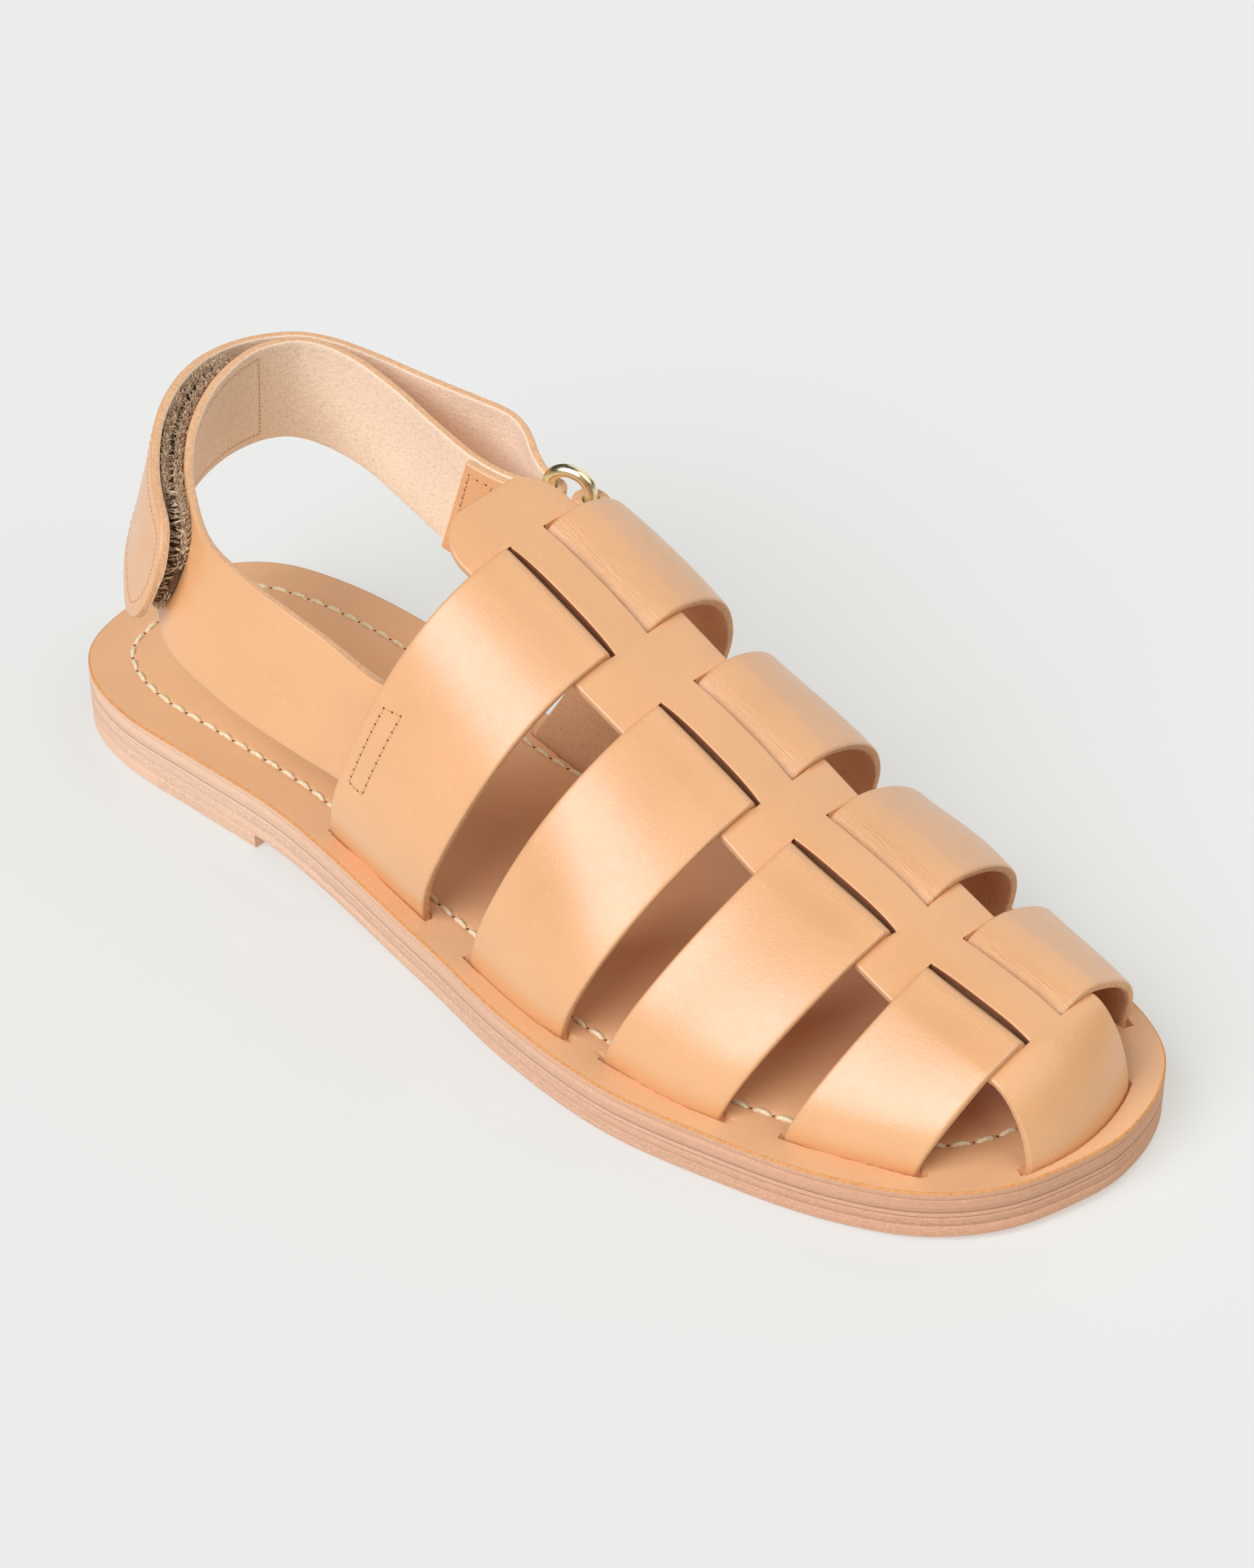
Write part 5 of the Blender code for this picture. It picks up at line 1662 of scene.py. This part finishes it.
def insole_seam():
    """Closed line of the insole's stitches, inside its outline, in its channel."""
    loop, inward, stitch = sole_loop(SOLE_TURNS)
    plan = loop + inward * stitch[:, None]
    plan = np.concatenate([plan, plan[:1]])
    path = np.column_stack([plan, footbed(plan[:, 0]) - STITCH_CHANNEL + WELT_LIFT])
    return path, np.tile(UP, (len(path), 1))


def through_corners(corners):
    """Points on the straight lines from each corner to the next."""
    spot = np.array(corners, dtype=float)
    return np.concatenate([np.linspace(a, b, SEAM_STEPS) for a, b in zip(spot[:-1], spot[1:])])


def on_strip(lines, stations, normals, corners, lift):
    """Line on a strip's face through corners given as (distance along, share across)."""
    along, share = through_corners(corners).T
    rows, facing = (np.stack([at_distance(along, stations, values[:, j]) for j in range(3)], axis=1)
                    for values in (lines, normals))
    points, up = ruled(rows, facing)(share[:, None])
    return points[:, 0] + up[:, 0] * lift, up[:, 0] * np.sign(lift)


def on_strap(side, corners, crown):
    """Line on the first strap's outer face through corners given as (share across, height)."""
    rear, front = STRAPS[0]
    share, height = through_corners(corners).T
    s = rear + share * (front - rear)
    r = reach_at_height(s, side, height)
    up = last_facing(s, r, side)
    over = strap_offset(s, r, np.full(s.shape, side), share, crown)
    return arch(s, r, side) + up * over[:, None], up


def box_seam(first, last, low, high):
    """Corners of a closed box seam between two distances along a strip and two shares across it."""
    return ((first, low), (last, low), (last, high), (first, high), (first, low))


def free_end_seam(end):
    """Corners of the seam round the free end: two lines along the edges, joined by half an ellipse."""
    turn = np.linspace(0.0, np.pi, FREE_SEAM_POINTS)
    bend = np.column_stack([end - FREE_SEAM_INSET + FREE_SEAM_BULGE * np.sin(turn),
                            0.5 - (0.5 - FREE_SEAM_EDGE) * np.cos(turn)])
    start = end - FREE_SEAM_LENGTH
    return [(start, FREE_SEAM_EDGE), *bend, (start, 1.0 - FREE_SEAM_EDGE)]


def strap_seams(crown):
    """Every tan seam as line, facing and hole radius: first strap, pads, patch, free end and tab."""
    inner, outer, tab = (row[1:4] for row in heel_strips(SEAM_EDGE))
    face = LEATHER / 2.0
    pads = np.array(HOOK_PAD_STATIONS) * inner[1][-1] / (HEEL_STATIONS - 1)
    patch = box_seam(*PATCH_SEAM, *BOX_SEAM)[::-1]
    return ((*on_strap(-1.0, STRAP_SEAM_LATERAL, crown), HOLE_LATERAL),
            (*on_strap(1.0, STRAP_SEAM_MEDIAL, crown), HOLE_BOX),
            (*on_strip(*inner, box_seam(*pads, *PAD_SEAM), -face), HOLE_PAD),
            (*on_strip(*outer, patch, face), HOLE_BOX),
            (*on_strip(*outer, free_end_seam(outer[1][-1]), face), HOLE_FREE_END),
            (*on_strip(*tab, box_seam(*TAB_SEAM, *BOX_SEAM), face), HOLE_BOX))


class SANDAL_OT_stitching(bpy.types.Operator):
    """Cream stitches round the insole and tan stitches on the straps, the tab and the heel strips."""

    bl_idname = "sandal.stitching"
    bl_label = "Stitching"

    def execute(self, context):
        made = finishes(context.scene.sandal_colours)
        sizes = context.scene.sandal_sizes
        pitch, fine = sizes.welt_stitch / MM, sizes.strap_stitch / MM
        path, facing = insole_seam()
        welt = stitches(path, facing, pitch, pitch * WELT_STITCH_SHARE, WELT_THREAD)
        put_mesh("insole_stitches", *welt, [made["cream_thread"]], slot="tan_leather")
        # Painted shade: dark discs stand for the shade inside the needle holes
        dark = [holes(path, facing, pitch, WELT_HOLE)]
        thread = []
        for line, up, size in strap_seams(sizes.strap_crown / MM):
            thread.append(stitches(line, up, fine, fine * STRAP_STITCH_SHARE, size * STRAP_THREAD,
                                   STRAP_THREAD_SINK))
            dark.append(holes(line, up, fine, size))
        put_mesh("strap_stitches", *join(thread), [made["tan_thread"]], slot="tan_leather")
        put_mesh("needle_hole_shade_discs", *join(dark), [made["needle_hole"]], slot="tan_leather")
        return {"FINISHED"}


def soft_light(name, strength, spread, heading, tint):
    """Distant light with a wide disc, so its shadows and highlights are soft."""
    light = bpy.data.lights.new(name, "SUN")
    light.energy = strength
    light.color = tint
    light.angle = np.radians(spread)
    thing = bpy.data.objects.new(name, light)
    thing.rotation_mode = "QUATERNION"
    thing.rotation_quaternion = Vector(heading).to_track_quat("-Z", "Y")
    return thing


class SANDAL_OT_stage(bpy.types.Operator):
    """Pale floor, soft light and the camera."""

    bl_idname = "sandal.stage"
    bl_label = "Stage"

    def execute(self, context):
        stage = context.scene.sandal_stage
        corners = np.array([(-1, -1), (1, -1), (1, 1), (-1, 1)]) * FLOOR_REACH
        mesh = bpy.data.meshes.new("floor")
        mesh.from_pydata(np.column_stack([corners, np.full(4, -FLOOR_DROP)]), [], [(0, 1, 2, 3)])
        mesh.materials.append(floor_finish("pale_floor", context.scene.sandal_colours.floor))
        floor = bpy.data.objects.new("floor", mesh)
        lights = (soft_light("near_light", stage.near, *NEAR_LIGHT),
                  soft_light("far_light", stage.far, *FAR_LIGHT),
                  soft_light("front_light", stage.front, *FRONT_LIGHT))
        lens = bpy.data.cameras.new("camera")
        lens.lens = stage.lens
        lens.sensor_width = SENSOR
        camera = bpy.data.objects.new("camera", lens)
        camera.location = stage.place
        aim = Vector(stage.target) - Vector(stage.place)
        camera.rotation_mode = "QUATERNION"
        camera.rotation_quaternion = aim.to_track_quat("-Z", "Y")
        for thing in (floor, *lights, camera):
            context.scene.collection.objects.link(thing)
        context.scene.camera = camera
        world = bpy.data.worlds.new("studio")
        world.use_nodes = True
        plug(world.node_tree, world.node_tree.nodes["Background"], Color=FILL_TINT, Strength=stage.fill)
        context.scene.world = world
        context.scene.view_settings.view_transform = "Standard"
        return {"FINISHED"}


class SANDAL_PT_panel(bpy.types.Panel):
    """Sizes, colours and pieces of the sandal."""

    bl_idname = "SANDAL_PT_panel"
    bl_label = "Caged Sandal"
    bl_space_type = "VIEW_3D"
    bl_region_type = "UI"
    bl_category = "Sandal"

    def draw(self, context):
        for group in (context.scene.sandal_sizes, context.scene.sandal_colours, context.scene.sandal_stage):
            box = self.layout.box()
            for name in group.__annotations__:
                box.prop(group, name)
        for piece in PIECES:
            self.layout.operator(piece.bl_idname)


GROUPS = (SandalSizes, SandalColours, SandalStage)
PIECES = (SANDAL_OT_sole, SANDAL_OT_heel, SANDAL_OT_spine, SANDAL_OT_straps, SANDAL_OT_heel_strap,
          SANDAL_OT_pads, SANDAL_OT_ring, SANDAL_OT_stitching, SANDAL_OT_stage)


def register():
    """Adds the properties, the operators and the panel to Blender."""
    for kind in (*GROUPS, *PIECES, SANDAL_PT_panel):
        bpy.utils.register_class(kind)
    bpy.types.Scene.sandal_sizes = bpy.props.PointerProperty(type=SandalSizes)
    bpy.types.Scene.sandal_colours = bpy.props.PointerProperty(type=SandalColours)
    bpy.types.Scene.sandal_stage = bpy.props.PointerProperty(type=SandalStage)


def unregister():
    """Takes the properties, the operators and the panel away again."""
    del bpy.types.Scene.sandal_sizes
    del bpy.types.Scene.sandal_colours
    del bpy.types.Scene.sandal_stage
    for kind in reversed((*GROUPS, *PIECES, SANDAL_PT_panel)):
        bpy.utils.unregister_class(kind)


def main():
    """Makes every piece and the stage in order."""
    register()
    bpy.ops.sandal.sole()
    bpy.ops.sandal.heel()
    bpy.ops.sandal.spine()
    bpy.ops.sandal.straps()
    bpy.ops.sandal.heel_strap()
    bpy.ops.sandal.pads()
    bpy.ops.sandal.ring()
    bpy.ops.sandal.stitching()
    bpy.ops.sandal.stage()


if __name__ == "__main__":
    main()
